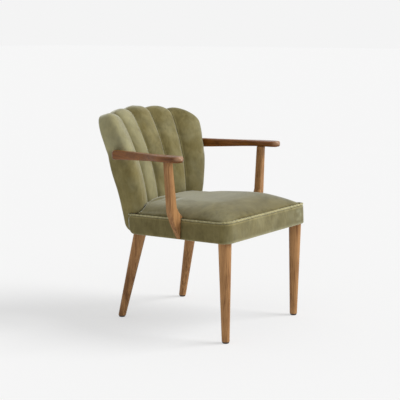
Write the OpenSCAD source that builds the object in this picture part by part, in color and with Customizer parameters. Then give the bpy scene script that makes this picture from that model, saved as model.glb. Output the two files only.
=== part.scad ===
// Upholstered dining armchair with a channelled shell back, wooden arms and round tapered legs.
// Millimetres, Z up, floor at Z 0. The front faces -Y.
// The middle of the chair's width and depth is the origin.

/* [Seat] */
// Height of the seat band's lower edge at the front
seat_bottom_h = 378; // [340:1:400]
// Width of the seat at its front
seat_front_w = 552; // [510:1:590]
// Width of the seat at its rear end
seat_rear_w = 448; // [430:1:470]
// Depth of the seat band from front to rear
seat_depth = 508; // [480:1:540]
// Backward slope of the seat in degrees
seat_tilt = 3.1; // [0:0.1:5]
// Height of the upholstered band round the seat
band_h = 73; // [66:1:88]
// Thickness of the band, padding and velvet together
band_t = 6; // [4:0.5:8]
// Radius of the seat's front corners
seat_corner_r = 35; // [24:1:46]
// Rounding of the band's lower corner at its rear ends
band_end_r = 14; // [8:1:20]
// Diameter of the piping that edges the seat
welt_d = 6; // [5:0.5:8]
// Height of the seat cushion's crown above the band
crown_h = 55; // [35:1:75]
// Thickness of the foam slab under the cushion
slab_t = 13; // [8:1:14]

/* [Seat frame] */
// Height of the seat rails
rail_h = 56; // [48:1:60]
// Thickness of the front rail
front_rail_t = 36; // [34:1:44]
// Thickness of the side rails
side_rail_t = 24; // [18:1:28]
// Distance of the rear rail's front face from the band's rear end
rear_rail_inset = 50; // [44:1:60]
// Length of the short sides of the corner blocks
corner_block_w = 62; // [45:1:75]
// Width of the webbing straps
strap_w = 50; // [35:1:56]
// Thickness of the webbing
strap_t = 1.4; // [1:0.1:1.8]
// Thickness of the dust cover below the frame
dust_t = 1; // [0.6:0.1:1.6]

/* [Back] */
// Height of the back along its slope, from the seat's underside to the middle of its top
back_h = 495; // [450:1:540]
// Width of the back at its foot
back_foot_w = 411; // [390:1:430]
// Outward lean of the back's sides in degrees
back_flare = 10.6; // [6:0.1:13]
// Backward lean of the back from square to the seat, in degrees
back_angle = 13.1; // [8:0.1:18]
// How far the back's corner stands behind the seat band at the bottom
back_step = 11; // [4:0.5:14]
// Thickness of the back at its seams, where it is thickest
back_t = 80; // [74:1:92]
// Height along the back at which it is thickest
belly_h = 238; // [210:1:265]
// Radius of the front of the back, seen from the side
front_curve_r = 700; // [620:10:1000]
// Radius of the back in plan
plan_r = 646; // [560:1:900]
// Radius of the outside back from the side, hollow towards the rear
hollow_r = 1700; // [1100:10:2000]
// Height along the back at which the outside back is hollowest
hollow_h = 280; // [240:1:320]
// Rounding of the outside back's lower edge
foot_round = 42; // [30:1:48]
// Radius of the back's upper corners
corner_r = 80; // [66:1:95]
// Radius of the back's top edge between its corners
top_r = 760; // [600:10:1200]
// Width of the middle channel at the thickest height
middle_channel_w = 96; // [80:1:110]
// Width of each channel next to the middle one, at the thickest height
next_channel_w = 93; // [80:1:105]
// How far each channel swells in front of its seams
channel_swell = 22; // [12:1:26]
// Depth of the valley between two channels at the top edge
scallop = 12; // [6:1:15]
// Height along the back at which the channels start
channel_foot_h = 84; // [78:1:92]
// Rounding of the channels' front edges at the outline of the back
front_round = 36; // [24:1:42]
// Rounding of the outline at the rear of the back
rear_round = 9; // [6:1:16]

/* [Back frame] */
// Padding between the frame and the outline of the back
edge_pad = 18; // [17:1:22]
// Thickness of the moulded board
board_t = 12; // [8:1:13]
// Thickness of the outside back, wadding and velvet together
cover_t = 4; // [3:0.5:5]
// Width of the uprights
upright_w = 26; // [22:1:30]
// Depth of the uprights
upright_d = 46; // [38:1:47]
// Height of the uprights' top along the back
upright_top_h = 362; // [330:1:368]
// Depth of the sill that carries the channels
sill_d = 28; // [20:1:34]

/* [Legs] */
// Diameter of a leg at its top
leg_top_d = 49; // [42:1:52]
// Diameter of a leg at its foot
leg_foot_d = 29; // [24:1:34]
// Distance of a front leg's centre from the seat's side, at its top
front_leg_side = 31; // [27:1:34]
// Distance of a front leg's centre from the seat's front, at its top
front_leg_back = 37; // [34:1:42]
// How far a front foot stands outside its leg's top
front_foot_out = -5; // [-15:1:20]
// How far a front foot stands ahead of its leg's top
front_foot_ahead = 2; // [-10:1:40]
// Distance of a rear leg's centre from the seat's side, at its top
rear_leg_side = 55; // [46:1:62]
// Distance of a rear leg's centre from the band's rear end, at its top
rear_leg_inset = 11; // [8:1:26]
// How far a rear foot stands outside its leg's top
rear_foot_out = 28; // [0:1:40]
// How far a rear foot stands behind its leg's top
rear_foot_behind = 78; // [40:1:110]
// Height of the glides
glide_h = 7; // [5:0.5:10]
// Diameter of the glides
glide_d = 26; // [18:1:27]

/* [Arms] */
// Height of the arms' top at the paddle's tip
arm_h = 688; // [650:1:705]
// How much lower the arms' top is at their rear end
arm_fall = 5; // [0:1:12]
// Thickness of the arms at the paddle
arm_front_t = 23; // [18:1:26]
// Thickness of the arms at their rear end
arm_rear_t = 37; // [30:1:40]
// Width of the arms along the rear
arm_rear_w = 30; // [24:1:34]
// Width of the paddle
paddle_w = 56; // [48:1:64]
// Distance of the paddle's tip from the seat's front
arm_tip_y = 168; // [148:1:183]
// Length of the paddle's round front end
paddle_nose = 34; // [28:1:45]
// Distance from the seat's front at which the paddle reaches its full width
paddle_full_y = 245; // [235:1:273]
// Distance from the seat's front at which the arm starts to widen
paddle_start_y = 358; // [333:1:413]
// Distance of the arm's rear end from the seat's front
arm_rear_y = 539; // [533:1:547]
// Distance of the paddle's centre outside the seat's side
paddle_out = 72; // [62:1:80]

/* [Arm posts] */
// Distance of the posts' centre from the seat's front
post_y = 241; // [235:1:258]
// Width of a post at its top
post_top_w = 26; // [22:1:30]
// Depth of a post at its top
post_top_d = 29; // [22:1:30]
// Width of a post just above its shoulder
post_waist_w = 35; // [30:1:38]
// Depth of a post at its shoulder
post_waist_d = 30; // [24:1:32]
// How far the shoulder reaches in over the piping
shoulder_in = 7; // [5:0.5:7.5]
// Chamfer of the posts' long edges
post_chamfer = 4; // [2:0.5:6]

/* [Fastenings] */
// Diameter of the bolts that hold the legs
leg_bolt_d = 8; // [6:1:8]
// Depth of the leg bolts in the legs
leg_bolt_in = 30; // [20:1:40]
// Diameter of the bolts that hold the arms
arm_bolt_d = 6; // [5:0.5:7]
// Diameter of the dowels between posts and arms
dowel_d = 10; // [8:1:12]
// Length of the dowels
dowel_l = 30; // [20:1:32]

/* [Hidden] */
$fn = 96;
clear = 0.3;
over = 1;
big = 2000;

velvet = "#7d7d55";
velvet_shade = "#6b6b45";
wadding = "#d9d2bd";
timber = "#8a5a34";
timber_light = "#a5733f";
frame_timber = "#c9a26e";
steel = "#8d9196";
jute = "#b59a6a";
black_cloth = "#2b2b2b";
dark_rubber = "#2a1d15";

rake = seat_tilt + back_angle;
side_slope = (seat_front_w - seat_rear_w) / 2 / seat_depth;
side_angle = atan(side_slope);
frame_in = band_t + clear;
slab_bottom = band_h + clear - slab_t;
welt_r = welt_d / 2;
welt_z = band_h + clear + welt_r;
cushion_in = (welt_d + 7 * clear) / cos(side_angle);
strap_gap = 0.2;

back_foot_half = back_foot_w / 2;
back_foot_y = seat_depth + back_step + plan_depth(back_foot_half, 0) * -cos(back_angle);
foot_y = back_foot_y * cos(seat_tilt);
foot_z = seat_bottom_h - back_foot_y * sin(seat_tilt);
foot_c = foot_round - 10;
middle_y = (foot_y + (back_h - rear_round) * sin(rake) - shell_depth(back_h, 0) * cos(rake)) / 2;
foam_back = cover_t + board_t + 2 * clear;
upright_front = foam_back + upright_d + clear;

// Centre of the corner arc, which touches the side line and the top arc
top_c = back_h - top_r;
corner_reach = top_r - corner_r;
corner_k = back_foot_half - corner_r / cos(back_flare) + top_c * tan(back_flare);
corner_h = top_c + cos(back_flare) * (-corner_k * sin(back_flare)
    + sqrt(pow(corner_k * sin(back_flare), 2) - corner_k * corner_k + corner_reach * corner_reach));
corner_x = back_side(corner_h) - corner_r / cos(back_flare);
corner_turn = atan2(corner_h - top_c, corner_x);
belly_half = back_side(belly_h);
seam_in = middle_channel_w / 2 / belly_half;
seam_out = (middle_channel_w / 2 + next_channel_w) / belly_half;
pad_x = edge_pad / cos(back_flare);
foot_inner_x = back_foot_half - pad_x - clear;
band_return_x = back_side(band_h) - pad_x + 2 * clear;
rail_top = rail_h + clear;
front_rail_end = frame_in + front_rail_t;
rear_rail_start = seat_depth - rear_rail_inset;
outline_end = seat_depth + 60;
block_h = 40;
strap_count = 5;
slab_gap = 4;
dust_in = 4;
leg_room = 3;

// Glides, each with its nail, and the legs' bolts above them
glide_stem_d = 5;
glide_stem_l = 14;
glide_edge = glide_h / 2;
leg_bolt_up = 24;
leg_turn = 90;

// Crown of the cushion: how it falls at the sides, towards the front and behind its highest line
edge_h = 3;
side_power = 6;
side_fall = 0.8;
front_reach = 220;
front_power = 3;
crown_y = 240;
rear_fall = 0.2;

// What stands behind a part of a channel
BOARD = 0;
UPRIGHT = 1;
NOTHING = 2;
// Rows of a channel: how far up the front and rear points are, and whether they pass over the board's top
ROWS = concat(
    [for (rise = [0, 0.12, 0.24, 0.36, 0.48, 0.6, 0.72, 0.83, 0.93, 1]) [rise, rise, false]],
    [[1.12, 1.05, true]],
    [for (rise = [1.3, 1.55, 1.76, 1.91, 2]) [rise, rise, true]]);
step = 0.2;
lip_slack = 1.2;
// Lines up the back, each [distance from the middle at corner_h, lean]
seam_line = [seam_out * back_side(corner_h) + clear / 2, seam_out * tan(back_flare)];
side_line = [back_side(corner_h), tan(back_flare)];
post_line = side_line - [pad_x, 0];
inner_line = post_line - [upright_w + 2 * clear, 0];
wing_foot_z = welt_z + welt_r + 2 * clear;
outline_drop = 60;

// Tenons of the uprights
tenon_w = 14;
tenon_d = 24;
tenon_l = 26;
tenon_up = 12;

// Rounding of the arms, and the bolts at their rear ends
arm_end_r = 15;
arm_edge = 11;
arm_square = 0.5;
arm_lean = 21;
arm_bolt_grip = 16;
arm_bolt_head_d = 12;
arm_bolt_head_h = 4;
arm_bolt_y = arm_rear_y - arm_lean;
arm_bolt_z = arm_top(arm_bolt_y) - arm_rear_t / 2;
arm_inner_x = back_side(chair_back_h(arm_bolt_y, arm_bolt_z + arm_rear_t / 4)) + clear;
paddle_x = seat_half(post_y) + paddle_out;
arm_stations = concat(
    [for (d = [0.3, 1.5, 4, 8, 14, 22, 32]) arm_tip_y + d],
    [for (k = [0:9]) mix(arm_tip_y + paddle_nose, arm_rear_y - arm_end_r, k / 9)],
    [for (d = [11, 7, 4, 1.5, 0.3]) arm_rear_y - d]);

// Places and stations of the arm posts
post_shift = 16;
post_top_x = paddle_x - post_shift;
post_top_z = arm_top(post_y + post_top_d / 2) - arm_t(post_y) - clear / 2;
post_gap = 2 * clear;
post_foot_up = 3;
post_rear = 13;
waist_in = 22;
shoulder_up = 5;
// The lap on the band: [height above the tip, thickness, front, rear]
POST_LAP = [[0, 4, -10, 6], [8, 9, -11, 9], [65, 40, -15, 12]];
// The shoulder and the neck: [height above the shoulder's underside, inner face, share of the waist's width]
POST_NECK = [[-0.5, post_gap, 0.68], [0, -shoulder_in, 0.68], [3, -shoulder_in, 0.72], [12, 1, 0.83],
    [25, 13, 0.95], [42, waist_in, 1]];
post_bolt_heights = [16, 42];
post_bolt_grip = [7, 14];

// Half the seat's width at a distance from its front
function seat_half(y) = seat_front_w / 2 - side_slope * y;
// Half the back's width at a height along it, without its round corners
function back_side(h) = back_foot_half + h * tan(back_flare);
// Depth in the back's frame of the surface that lies a distance inside the outside back
function plan_depth(x, inside) = sqrt(pow(plan_r - inside, 2) - x * x) - plan_r;
// Depth of a surface of the outside back: hollow from the side, and rounded under at the foot
function hollow(h) = hollow_r - sqrt(hollow_r * hollow_r - pow(h - hollow_h, 2));
function shell_depth(h, inside) = h >= foot_c
    ? sqrt(pow(hollow_r + inside, 2) - pow(h - hollow_h, 2)) - hollow_r
    : foot_round - hollow(foot_c) - sqrt(max(0, pow(foot_round - inside, 2) - pow(foot_c - h, 2)));
// Profile of such a surface, from its foot to its top
function shell_line(inside) = [for (h = concat(
    [for (k = [6:-1:1]) foot_c - (foot_round - inside) * sin(15 * k)],
    [for (k = [0:8]) mix(foot_c, back_h, k / 8)])) [plan_r - shell_depth(h, inside), h]];
function mix(a, b, t) = a * (1 - t) + b * t;
function reversed(list) = [for (k = [len(list) - 1:-1:0]) list[k]];
// Everything in front of such a surface
module shell_solid(inside) let(line = shell_line(inside)) translate([0, -plan_r, 0])
    rotate_extrude($fn = 360) polygon(concat([[0, line[0][1]]], line, [[0, back_h]]));
// Thickness of the back at its seams
function seam_t(h) = back_t - pow(h - belly_h, 2) / (2 * front_curve_r);
// Set-back of a rounded edge at a distance inside it
function rounding(distance, r) = distance >= r ? 0 : r - sqrt(r * r - pow(r - max(distance, 0), 2));
// Distance inside the back's smooth outline
function inside_outline(x, h) = let(v = [x - corner_x, h - corner_h])
    v * [sin(back_flare), cos(back_flare)] <= 0 ? (back_side(h) - x) * cos(back_flare)
    : cos(corner_turn) * v[1] - sin(corner_turn) * v[0] < 0 ? corner_r - norm(v)
    : top_r - norm([x, h - top_c]);

// Places in the chair, with Y 0 at the seat's front
module in_chair() translate([0, -middle_y, 0]) children();
module on_seat() in_chair() translate([0, 0, seat_bottom_h]) rotate([-seat_tilt, 0, 0]) children();
module on_back() on_seat() translate([0, back_foot_y, 0]) rotate([-back_angle, 0, 0]) children();
module mirrored(side) { if (side < 0) mirror([1, 0, 0]) children(); else children(); }
module both_sides() { children(); mirror([1, 0, 0]) children(); }

// A solid through rings of points, each ring in pairs across the solid
module lofted(rings) {
    n = len(rings[0]);
    last = (len(rings) - 1) * n;
    polyhedron(
        points = [for (ring = rings) each ring],
        faces = concat(
            [for (j = [0:len(rings) - 2], i = [0:n - 1])
                let(a = j * n + i, b = j * n + (i + 1) % n) each [[a, a + n, b + n], [a, b + n, b]]],
            [for (i = [0:n / 2 - 2])
                let(c = n - 2 - i, d = n - 1 - i) each [[i, i + 1, c], [i, c, d]]],
            [for (i = [0:n / 2 - 2])
                let(c = n - 2 - i, d = n - 1 - i)
                    each [[last + c, last + i + 1, last + i], [last + d, last + c, last + i]]]));
}

// A closed outline with rounded corners: each corner is [x, y, radius]
function rounded(corners) = [for (i = [0:len(corners) - 1])
    let(n = len(corners), c = corners[i], p = corners[(i + n - 1) % n], q = corners[(i + 1) % n])
    each round_corner([c[0], c[1]], [p[0], p[1]], [q[0], q[1]], c[2])];
function unit(v) = v / norm(v);
function round_corner(c, p, q, r) = r == 0 ? [c]
    : let(u = unit(p - c), v = unit(q - c), half = acos(u * v) / 2, m = c + unit(u + v) * r / sin(half),
        a = c + u * r / tan(half) - m, b = c + v * r / tan(half) - m, steps = 8)
    [for (k = [0:steps]) let(t = k / steps, w = 180 - 2 * half)
        m + (a * sin((1 - t) * w) + b * sin(t * w)) / sin(w)];

// Seat outline from the front, set in by a distance and ending at a depth
function seat_outline(inset, rear, rear_r = 0) = let(r = max(2, seat_corner_r - inset))
    rounded([
        [-seat_half(inset) + inset, inset, r],
        [-seat_half(rear) + inset, rear, rear_r],
        [seat_half(rear) - inset, rear, rear_r],
        [seat_half(inset) - inset, inset, r]]);

// Everything below the seat's lower plane, raised by a height
module below_seat(h) on_seat() translate([-big / 2, -big / 2, h - big]) cube(big);
module above_seat(h) on_seat() translate([-big / 2, -big / 2, h]) cube(big);

function leg_y(front) = front ? front_leg_back : seat_depth - rear_leg_inset;
function leg_top(front) = let(y = leg_y(front)) [
    seat_half(y) - (front ? front_leg_side : rear_leg_side),
    y * cos(seat_tilt),
    seat_bottom_h - y * sin(seat_tilt)];
function leg_foot(front) = let(top = leg_top(front)) [
    top[0] + (front ? front_foot_out : rear_foot_out),
    top[1] + (front ? -front_foot_ahead : rear_foot_behind),
    0];

// Stands the Z axis on a leg's line, from its foot upwards
module along_leg(front) {
    foot = leg_foot(front);
    line = leg_top(front) - foot;
    in_chair() translate(foot)
        rotate([0, acos(line[2] / norm(line)), atan2(line[1], line[0])]) children();
}
function leg_length(front) = norm(leg_top(front) - leg_foot(front));

// Legs
module leg(front) {
    spare = 30;
    length = leg_length(front);
    grow = (leg_top_d - leg_foot_d) / 2 / length;
    difference() {
        along_leg(front) rotate(leg_turn) translate([0, 0, -spare]) cylinder(
            r1 = leg_foot_d / 2 - grow * spare, r2 = leg_top_d / 2 + grow * spare, h = length + 2 * spare);
        above_seat(-clear);
        translate([-big / 2, -big / 2, glide_h - big]) cube(big);
        along_leg(front) translate([0, 0, length - leg_bolt_in]) cylinder(d = leg_bolt_d, h = big);
        at_glide(front) cylinder(d = glide_stem_d + clear, h = glide_h + glide_stem_l + clear);
    }
}
module front_leg_left() color(timber) leg(true);
module front_leg_right() color(timber) mirror([1, 0, 0]) leg(true);
module rear_leg_left() color(timber) leg(false);
module rear_leg_right() color(timber) mirror([1, 0, 0]) leg(false);

// Glides under the feet, each with its nail
module at_glide(front) {
    foot = leg_foot(front);
    line = leg_top(front) - foot;
    rise = glide_h / line[2];
    in_chair() translate([foot[0] + line[0] * rise, foot[1] + line[1] * rise, 0]) children();
}
module glide() rotate_extrude() union() {
    square([glide_d / 2 - glide_edge, glide_h]);
    translate([0, glide_edge]) square([glide_d / 2, glide_h - glide_edge]);
    translate([glide_d / 2 - glide_edge, glide_edge]) circle(glide_edge);
    square([glide_stem_d / 2, glide_h + glide_stem_l]);
}
module leg_glides() color(dark_rubber) both_sides() { at_glide(true) glide(); at_glide(false) glide(); }

// Bolts from the legs up into the rails
module leg_bolt_rods() both_sides() for (front = [true, false])
    along_leg(front) translate([0, 0, leg_length(front) - leg_bolt_in])
        cylinder(d = leg_bolt_d, h = leg_bolt_in + leg_bolt_up);
module leg_bolts() color(steel) leg_bolt_rods();

// Seat frame
module rail_blank(y0, y1) linear_extrude(rail_h) intersection() {
    polygon(seat_outline(frame_in, outline_end));
    translate([-big / 2, y0]) square([big, y1 - y0]);
}
module front_rail() color(frame_timber) difference() {
    on_seat() rail_blank(0, front_rail_end);
    leg_bolt_rods();
}
module rear_rail() color(frame_timber) difference() {
    intersection() {
        on_seat() rail_blank(rear_rail_start, outline_end);
        on_back() shell_solid(foam_back);
    }
    both_sides() on_seat() translate([foot_inner_x, seat_depth - frame_in, -over]) cube(big);
    both_sides() at_tenon() translate([0, 0, -tenon_l]) mortise();
    leg_bolt_rods();
}
module side_rail(side) color(frame_timber) difference() {
    on_seat() linear_extrude(rail_h) mirrored(side) polygon([
        [seat_half(front_rail_end) - frame_in - side_rail_t, front_rail_end + clear / 3],
        [seat_half(front_rail_end) - frame_in, front_rail_end + clear / 3],
        [seat_half(rear_rail_start) - frame_in, rear_rail_start - clear / 3],
        [seat_half(rear_rail_start) - frame_in - side_rail_t, rear_rail_start - clear / 3]]);
    mirrored(side) post_bolt_rods();
}
module side_rail_left() side_rail(1);
module side_rail_right() side_rail(-1);

// Blocks glued into the corners of the frame
module corner_blocks() color(frame_timber) on_seat() both_sides() {
    for (front = [1, -1]) {
        y = front > 0 ? front_rail_end : rear_rail_start;
        x = seat_half(y) - frame_in - side_rail_t - clear;
        translate([x, y + front * clear, (rail_h - block_h) / 2]) linear_extrude(block_h)
            polygon([[0, 0], [front * side_slope * -corner_block_w, front * corner_block_w],
                [-corner_block_w / 3, front * corner_block_w], [-corner_block_w, front * corner_block_w / 3],
                [-corner_block_w, 0]]);
    }
}

// Webbing on top of the rails: straps from front to rear, then straps across them
module webbing_lengthwise() color(jute) on_seat() translate([0, 0, rail_top])
    for (i = [0:strap_count - 1]) {
        pitch = 2 * (seat_half(rear_rail_start) - frame_in - side_rail_t) / strap_count;
        translate([(i - (strap_count - 1) / 2) * pitch - strap_w / 2, frame_in + front_rail_t / 2, 0])
            cube([strap_w, rear_rail_start + rear_rail_inset / 3 - frame_in - front_rail_t / 2, strap_t]);
    }
module webbing_crosswise() color(jute) on_seat() translate([0, 0, rail_top + strap_t + strap_gap])
    for (i = [0:strap_count - 1]) {
        span = rear_rail_start - front_rail_end;
        y = front_rail_end + span * (i + 0.5) / strap_count;
        half = seat_half(y + strap_w / 2) - frame_in - side_rail_t / 3;
        translate([-half, y - strap_w / 2, 0]) cube([2 * half, strap_w, strap_t]);
    }

// Foam slab inside the band, cut to the sweep of the back
module seat_foam() color(wadding) on_seat() translate([0, 0, slab_bottom]) linear_extrude(slab_t)
    intersection() {
        polygon(seat_outline(frame_in, outline_end));
        polygon(concat([[-big / 2, 0]],
            [for (k = [-6:6]) let(t = k / 6) [t * (seat_front_w / 2), slab_rear(t)]], [[big / 2, 0]]));
    }
function slab_rear(t) = cushion_rear(t) - slab_gap;

// Band round the front and the sides of the seat, turned in at its ends to the foot of the back
module seat_band() color(velvet_shade) difference() {
    on_seat() linear_extrude(band_h) difference() {
        polygon(seat_outline(0, seat_depth, band_t + 2 * over));
        polygon(seat_outline(band_t, seat_depth - band_t));
        translate([-band_return_x, seat_depth / 2]) square([2 * band_return_x, seat_depth]);
    }
    on_seat() translate([-big / 2, seat_depth - band_end_r, 0]) rotate([90, 0, 90]) linear_extrude(big)
        difference() {
            translate([0, -over]) square([band_end_r + over, band_end_r + over]);
            translate([0, band_end_r]) circle(band_end_r);
        }
    both_sides() post_bolt_rods();
}

// Piping along the top edge of the band
function welt_path() = let(r = seat_corner_r - welt_r - clear, inset = welt_r + clear)
    rounded([
        [-seat_half(seat_depth - clear) + inset, seat_depth - clear, 0],
        [-seat_half(inset) + inset, inset, r],
        [seat_half(inset) - inset, inset, r],
        [seat_half(seat_depth - clear) - inset, seat_depth - clear, 0]]);
function mitre(path, i) = 1 / sqrt((1 + unit(path[i + 1] - path[i]) * unit(path[i] - path[i - 1])) / 2);
module seat_welt() color(velvet) on_seat() {
    path = welt_path();
    last = len(path) - 1;
    sides = 8;
    lofted([for (i = [0:last]) let(
        along = unit(path[min(i + 1, last)] - path[max(i - 1, 0)]),
        across = [along[1], -along[0]] * welt_r * (i == 0 || i == last ? 1 : mitre(path, i)))
        [for (k = [0:sides - 1]) let(a = 180 + 360 * (k + 0.5) / sides)
            [path[i][0] + across[0] * cos(a), path[i][1] + across[1] * cos(a), welt_z - welt_r * sin(a)]]]);
}

// Cushion with its crown, drawn in at the sides
// Distance of the cushion's rear edge from the front, across the seat from -1 to 1
function cushion_rear(t) = let(
    x = abs(t) * (seat_half(seat_depth) - cushion_in),
    lobe = lobe_place(x / back_side(channel_foot_h)),
    swell = lobe < 0 ? 1 : sqrt(max(0, 1 - lobe * lobe)),
    edge = rounding(inside_outline(x, channel_foot_h), front_round),
    depth = plan_depth(x, seam_t(channel_foot_h) + channel_swell * swell - edge))
    in_seat_y(channel_foot_h, depth - 3 * clear);
// Place across the outer channel, from -1 at its seam to 1 at the side, of a share of the half width
function lobe_place(share) = 2 * (share - seam_out) / (1 - seam_out) - 1;
function crown(t, y) = let(
    near = max(0, 1 - (y - cushion_in) / front_reach),
    along = pow(1 - pow(near, front_power), side_fall) - (y > crown_y
        ? rear_fall * pow((y - crown_y) / (seat_depth - crown_y), 2) : 0))
    edge_h + crown_h * along * pow(max(0, 1 - pow(abs(t), side_power)), side_fall);
module seat_cushion() color(velvet) on_seat() translate([0, 0, band_h + 2 * clear]) {
    columns = 18;
    shares = [0, 0.006, 0.02, 0.045, 0.075, 0.11, 0.17, 0.26, 0.38, 0.52, 0.68, 0.84, 0.94, 1];
    corner = seat_corner_r - cushion_in;
    lofted([for (share = shares) let(
        ring = [for (k = [0:columns]) let(t = sin(90 * (2 * k / columns - 1)),
            y = cushion_in + share * (cushion_rear(t) - cushion_in),
            half = seat_half(y) - cushion_in - rounding(y - cushion_in, corner))
            [t * half, y, crown(t, y)]])
        concat(ring, [for (k = [columns:-1:0]) [ring[k][0], ring[k][1], 0]])]);
}

// Dust cover under the frame, cut away at the legs
module leg_notch(front) translate([leg_top(front)[0], leg_y(front)]) {
    circle(d = leg_top_d + 2 * leg_room);
    translate([0, front ? -big : 0]) square(big);
}
module dust_cover() color(black_cloth) on_seat() translate([0, 0, -dust_t - clear]) linear_extrude(dust_t)
    difference() {
        polygon(seat_outline(frame_in + dust_in, seat_depth - dust_in));
        for (side = [1, -1], front = [true, false]) scale([side, 1]) leg_notch(front);
    }

// Channels of the back, each a solid through columns of points that lean outwards with the back's sides
// A column is [distance from the middle at corner_h, lean, dip, swell, what stands behind it]
function column_x(c, h) = c[0] + c[1] * (h - corner_h);
function line_circle(c, x, h, r) = let(
    a = 1 + c[1] * c[1], dx = c[0] - x, dh = h - corner_h, b = dx * c[1] - dh, k = dx * dx + dh * dh - r * r)
    corner_h + (-b + sqrt(max(0, b * b - a * k))) / a;
function column_top(c, pad) = let(
    side = [abs(c[0]), abs(c[1])],
    h = line_circle(side, corner_x, corner_h, corner_r - pad))
    column_x(side, h) >= corner_x * (top_r - pad) / (top_r - corner_r) ? h
    : line_circle(side, 0, top_c, top_r - pad);

function channel_ring(columns, row) = let(
    last = len(columns) - 1,
    cells = [for (c = columns) let(
        top = column_top(c, 0) - scallop * c[2],
        lip = min(column_top(c, edge_pad - lip_slack) + clear, top - 6),
        h = row_h(front_foot(c, front_foot(c, channel_foot_h)), lip, top, row[0]),
        rear_h = row_h(rear_foot(c, channel_foot_h), lip, top, row[1]),
        x = column_x(c, h),
        rear_x = column_x(c, rear_h),
        rear_gap = min(top - rear_h, inside_outline(abs(rear_x), rear_h)),
        rear = row[2] || c[4] == NOTHING ? shell_depth(rear_h, 0) + rounding(rear_gap, rear_round)
            : shell_depth(rear_h, c[4] == UPRIGHT ? upright_front : foam_back),
        gap = min(top - h, inside_outline(abs(x), h)),
        front = max(rear + 3, seam_t(h) + channel_swell * c[3] - rounding(gap, front_round)))
        [[x, plan_depth(x, front), h], [rear_x, plan_depth(rear_x, rear), rear_h]]])
    concat([for (cell = cells) cell[0]], [for (k = [last:-1:0]) cells[k][1]]);
function row_h(foot, lip, top, rise) = rise <= 1 ? mix(foot, lip, rise) : mix(lip, top, rise - 1);

// Height of a column's foot, found from a height near it: on the sill, or on the piping beside the cushion
function wing_foot(x, inside) = (wing_foot_z + plan_depth(x, inside) * sin(back_angle)) / cos(back_angle);
function edge_rounding(c, h, r) = rounding(inside_outline(abs(column_x(c, h)), h), r);
function front_foot(c, h) = c[4] == BOARD ? channel_foot_h
    : wing_foot(column_x(c, h), seam_t(h) + channel_swell * c[3] - edge_rounding(c, h, front_round));
function rear_foot(c, h) = c[4] == BOARD ? channel_foot_h
    : wing_foot(column_x(c, h), c[4] == UPRIGHT ? shell_depth(h, upright_front)
        : shell_depth(h, 0) + edge_rounding(c, h, rear_round));

// Columns from seam to seam, given as shares of the back's half width
function seam_columns(from, to) = [for (k = [0:8]) let(
    t = sin(90 * (k / 4 - 1)),
    inset = -t * clear / 2,
    share = (from * (1 - t) + to * (1 + t)) / 2)
    [share * back_side(corner_h) + inset, share * tan(back_flare), t * t, sqrt(1 - t * t), BOARD]];

// Columns of an outer channel, which wraps round the upright to the outside back
function outer_column(line, behind) = let(t = lobe_place(line[0] / side_line[0]))
    [line[0], line[1], t < 0 ? t * t : 0, sqrt(max(0, 1 - t * t)), behind];
function columns_between(from, to, shares, behind) = [
    for (t = shares) outer_column(mix(from, to, t), behind)];
function wall_columns() = columns_between(post_line, side_line, [0, 0.3, 0.55, 0.78, 0.93, 1], NOTHING);
function outer_columns() = concat(
    columns_between(seam_line, inner_line, [0, 0.05, 0.15, 0.32, 0.55, 0.8, 1], BOARD),
    columns_between(inner_line + [step, 0], post_line - [step, 0], [0, 0.5, 0.8, 0.93, 1], UPRIGHT),
    wall_columns());

// Side wall below the outer channel, behind the seat band
module back_corner() difference() {
    columns = wall_columns();
    drops = [1, 0.97, 0.88, 0.74, 0.55, 0.3, 0];
    heights = concat(
        [for (d = drops) foot_c - d * foot_round],
        [(foot_c + channel_foot_h) / 2, channel_foot_h + over]);
    lofted([for (h = heights) concat(
        [for (c = columns) let(x = column_x(c, h) + (c[0] == post_line[0] ? clear : 0))
            [x, plan_depth(x, back_t), h]],
        [for (k = [len(columns) - 1:-1:0]) let(
            x = column_x(columns[k], h) + (k == 0 ? clear : 0),
            edge = rounding(inside_outline(x, h), rear_round))
            [x, plan_depth(x, min(back_t - over, shell_depth(h, 0) + edge)), h]])]);
    seat_side_of_back();
}
module seat_side_of_back() rotate([back_angle, 0, 0]) translate([0, -back_foot_y, 0]) {
    translate([-big / 2, seat_depth + clear - big, -big / 2]) cube(big);
    translate([-big / 2, -big / 2, -big]) cube(big);
}
module outer_channel() on_back() difference() {
    union() {
        lofted([for (row = ROWS) channel_ring(outer_columns(), row)]);
        back_corner();
    }
    arm_bolt_rod_in_back();
}
module back_channel_1() color(velvet) mirror([1, 0, 0]) outer_channel();
module back_channel_2() color(velvet) on_back() mirror([1, 0, 0])
    lofted([for (row = ROWS) channel_ring(seam_columns(seam_in, seam_out), row)]);
module back_channel_3() color(velvet) on_back()
    lofted([for (row = ROWS) channel_ring(seam_columns(-seam_in, seam_in), row)]);
module back_channel_4() color(velvet) on_back()
    lofted([for (row = ROWS) channel_ring(seam_columns(seam_in, seam_out), row)]);
module back_channel_5() color(velvet) outer_channel();

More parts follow.
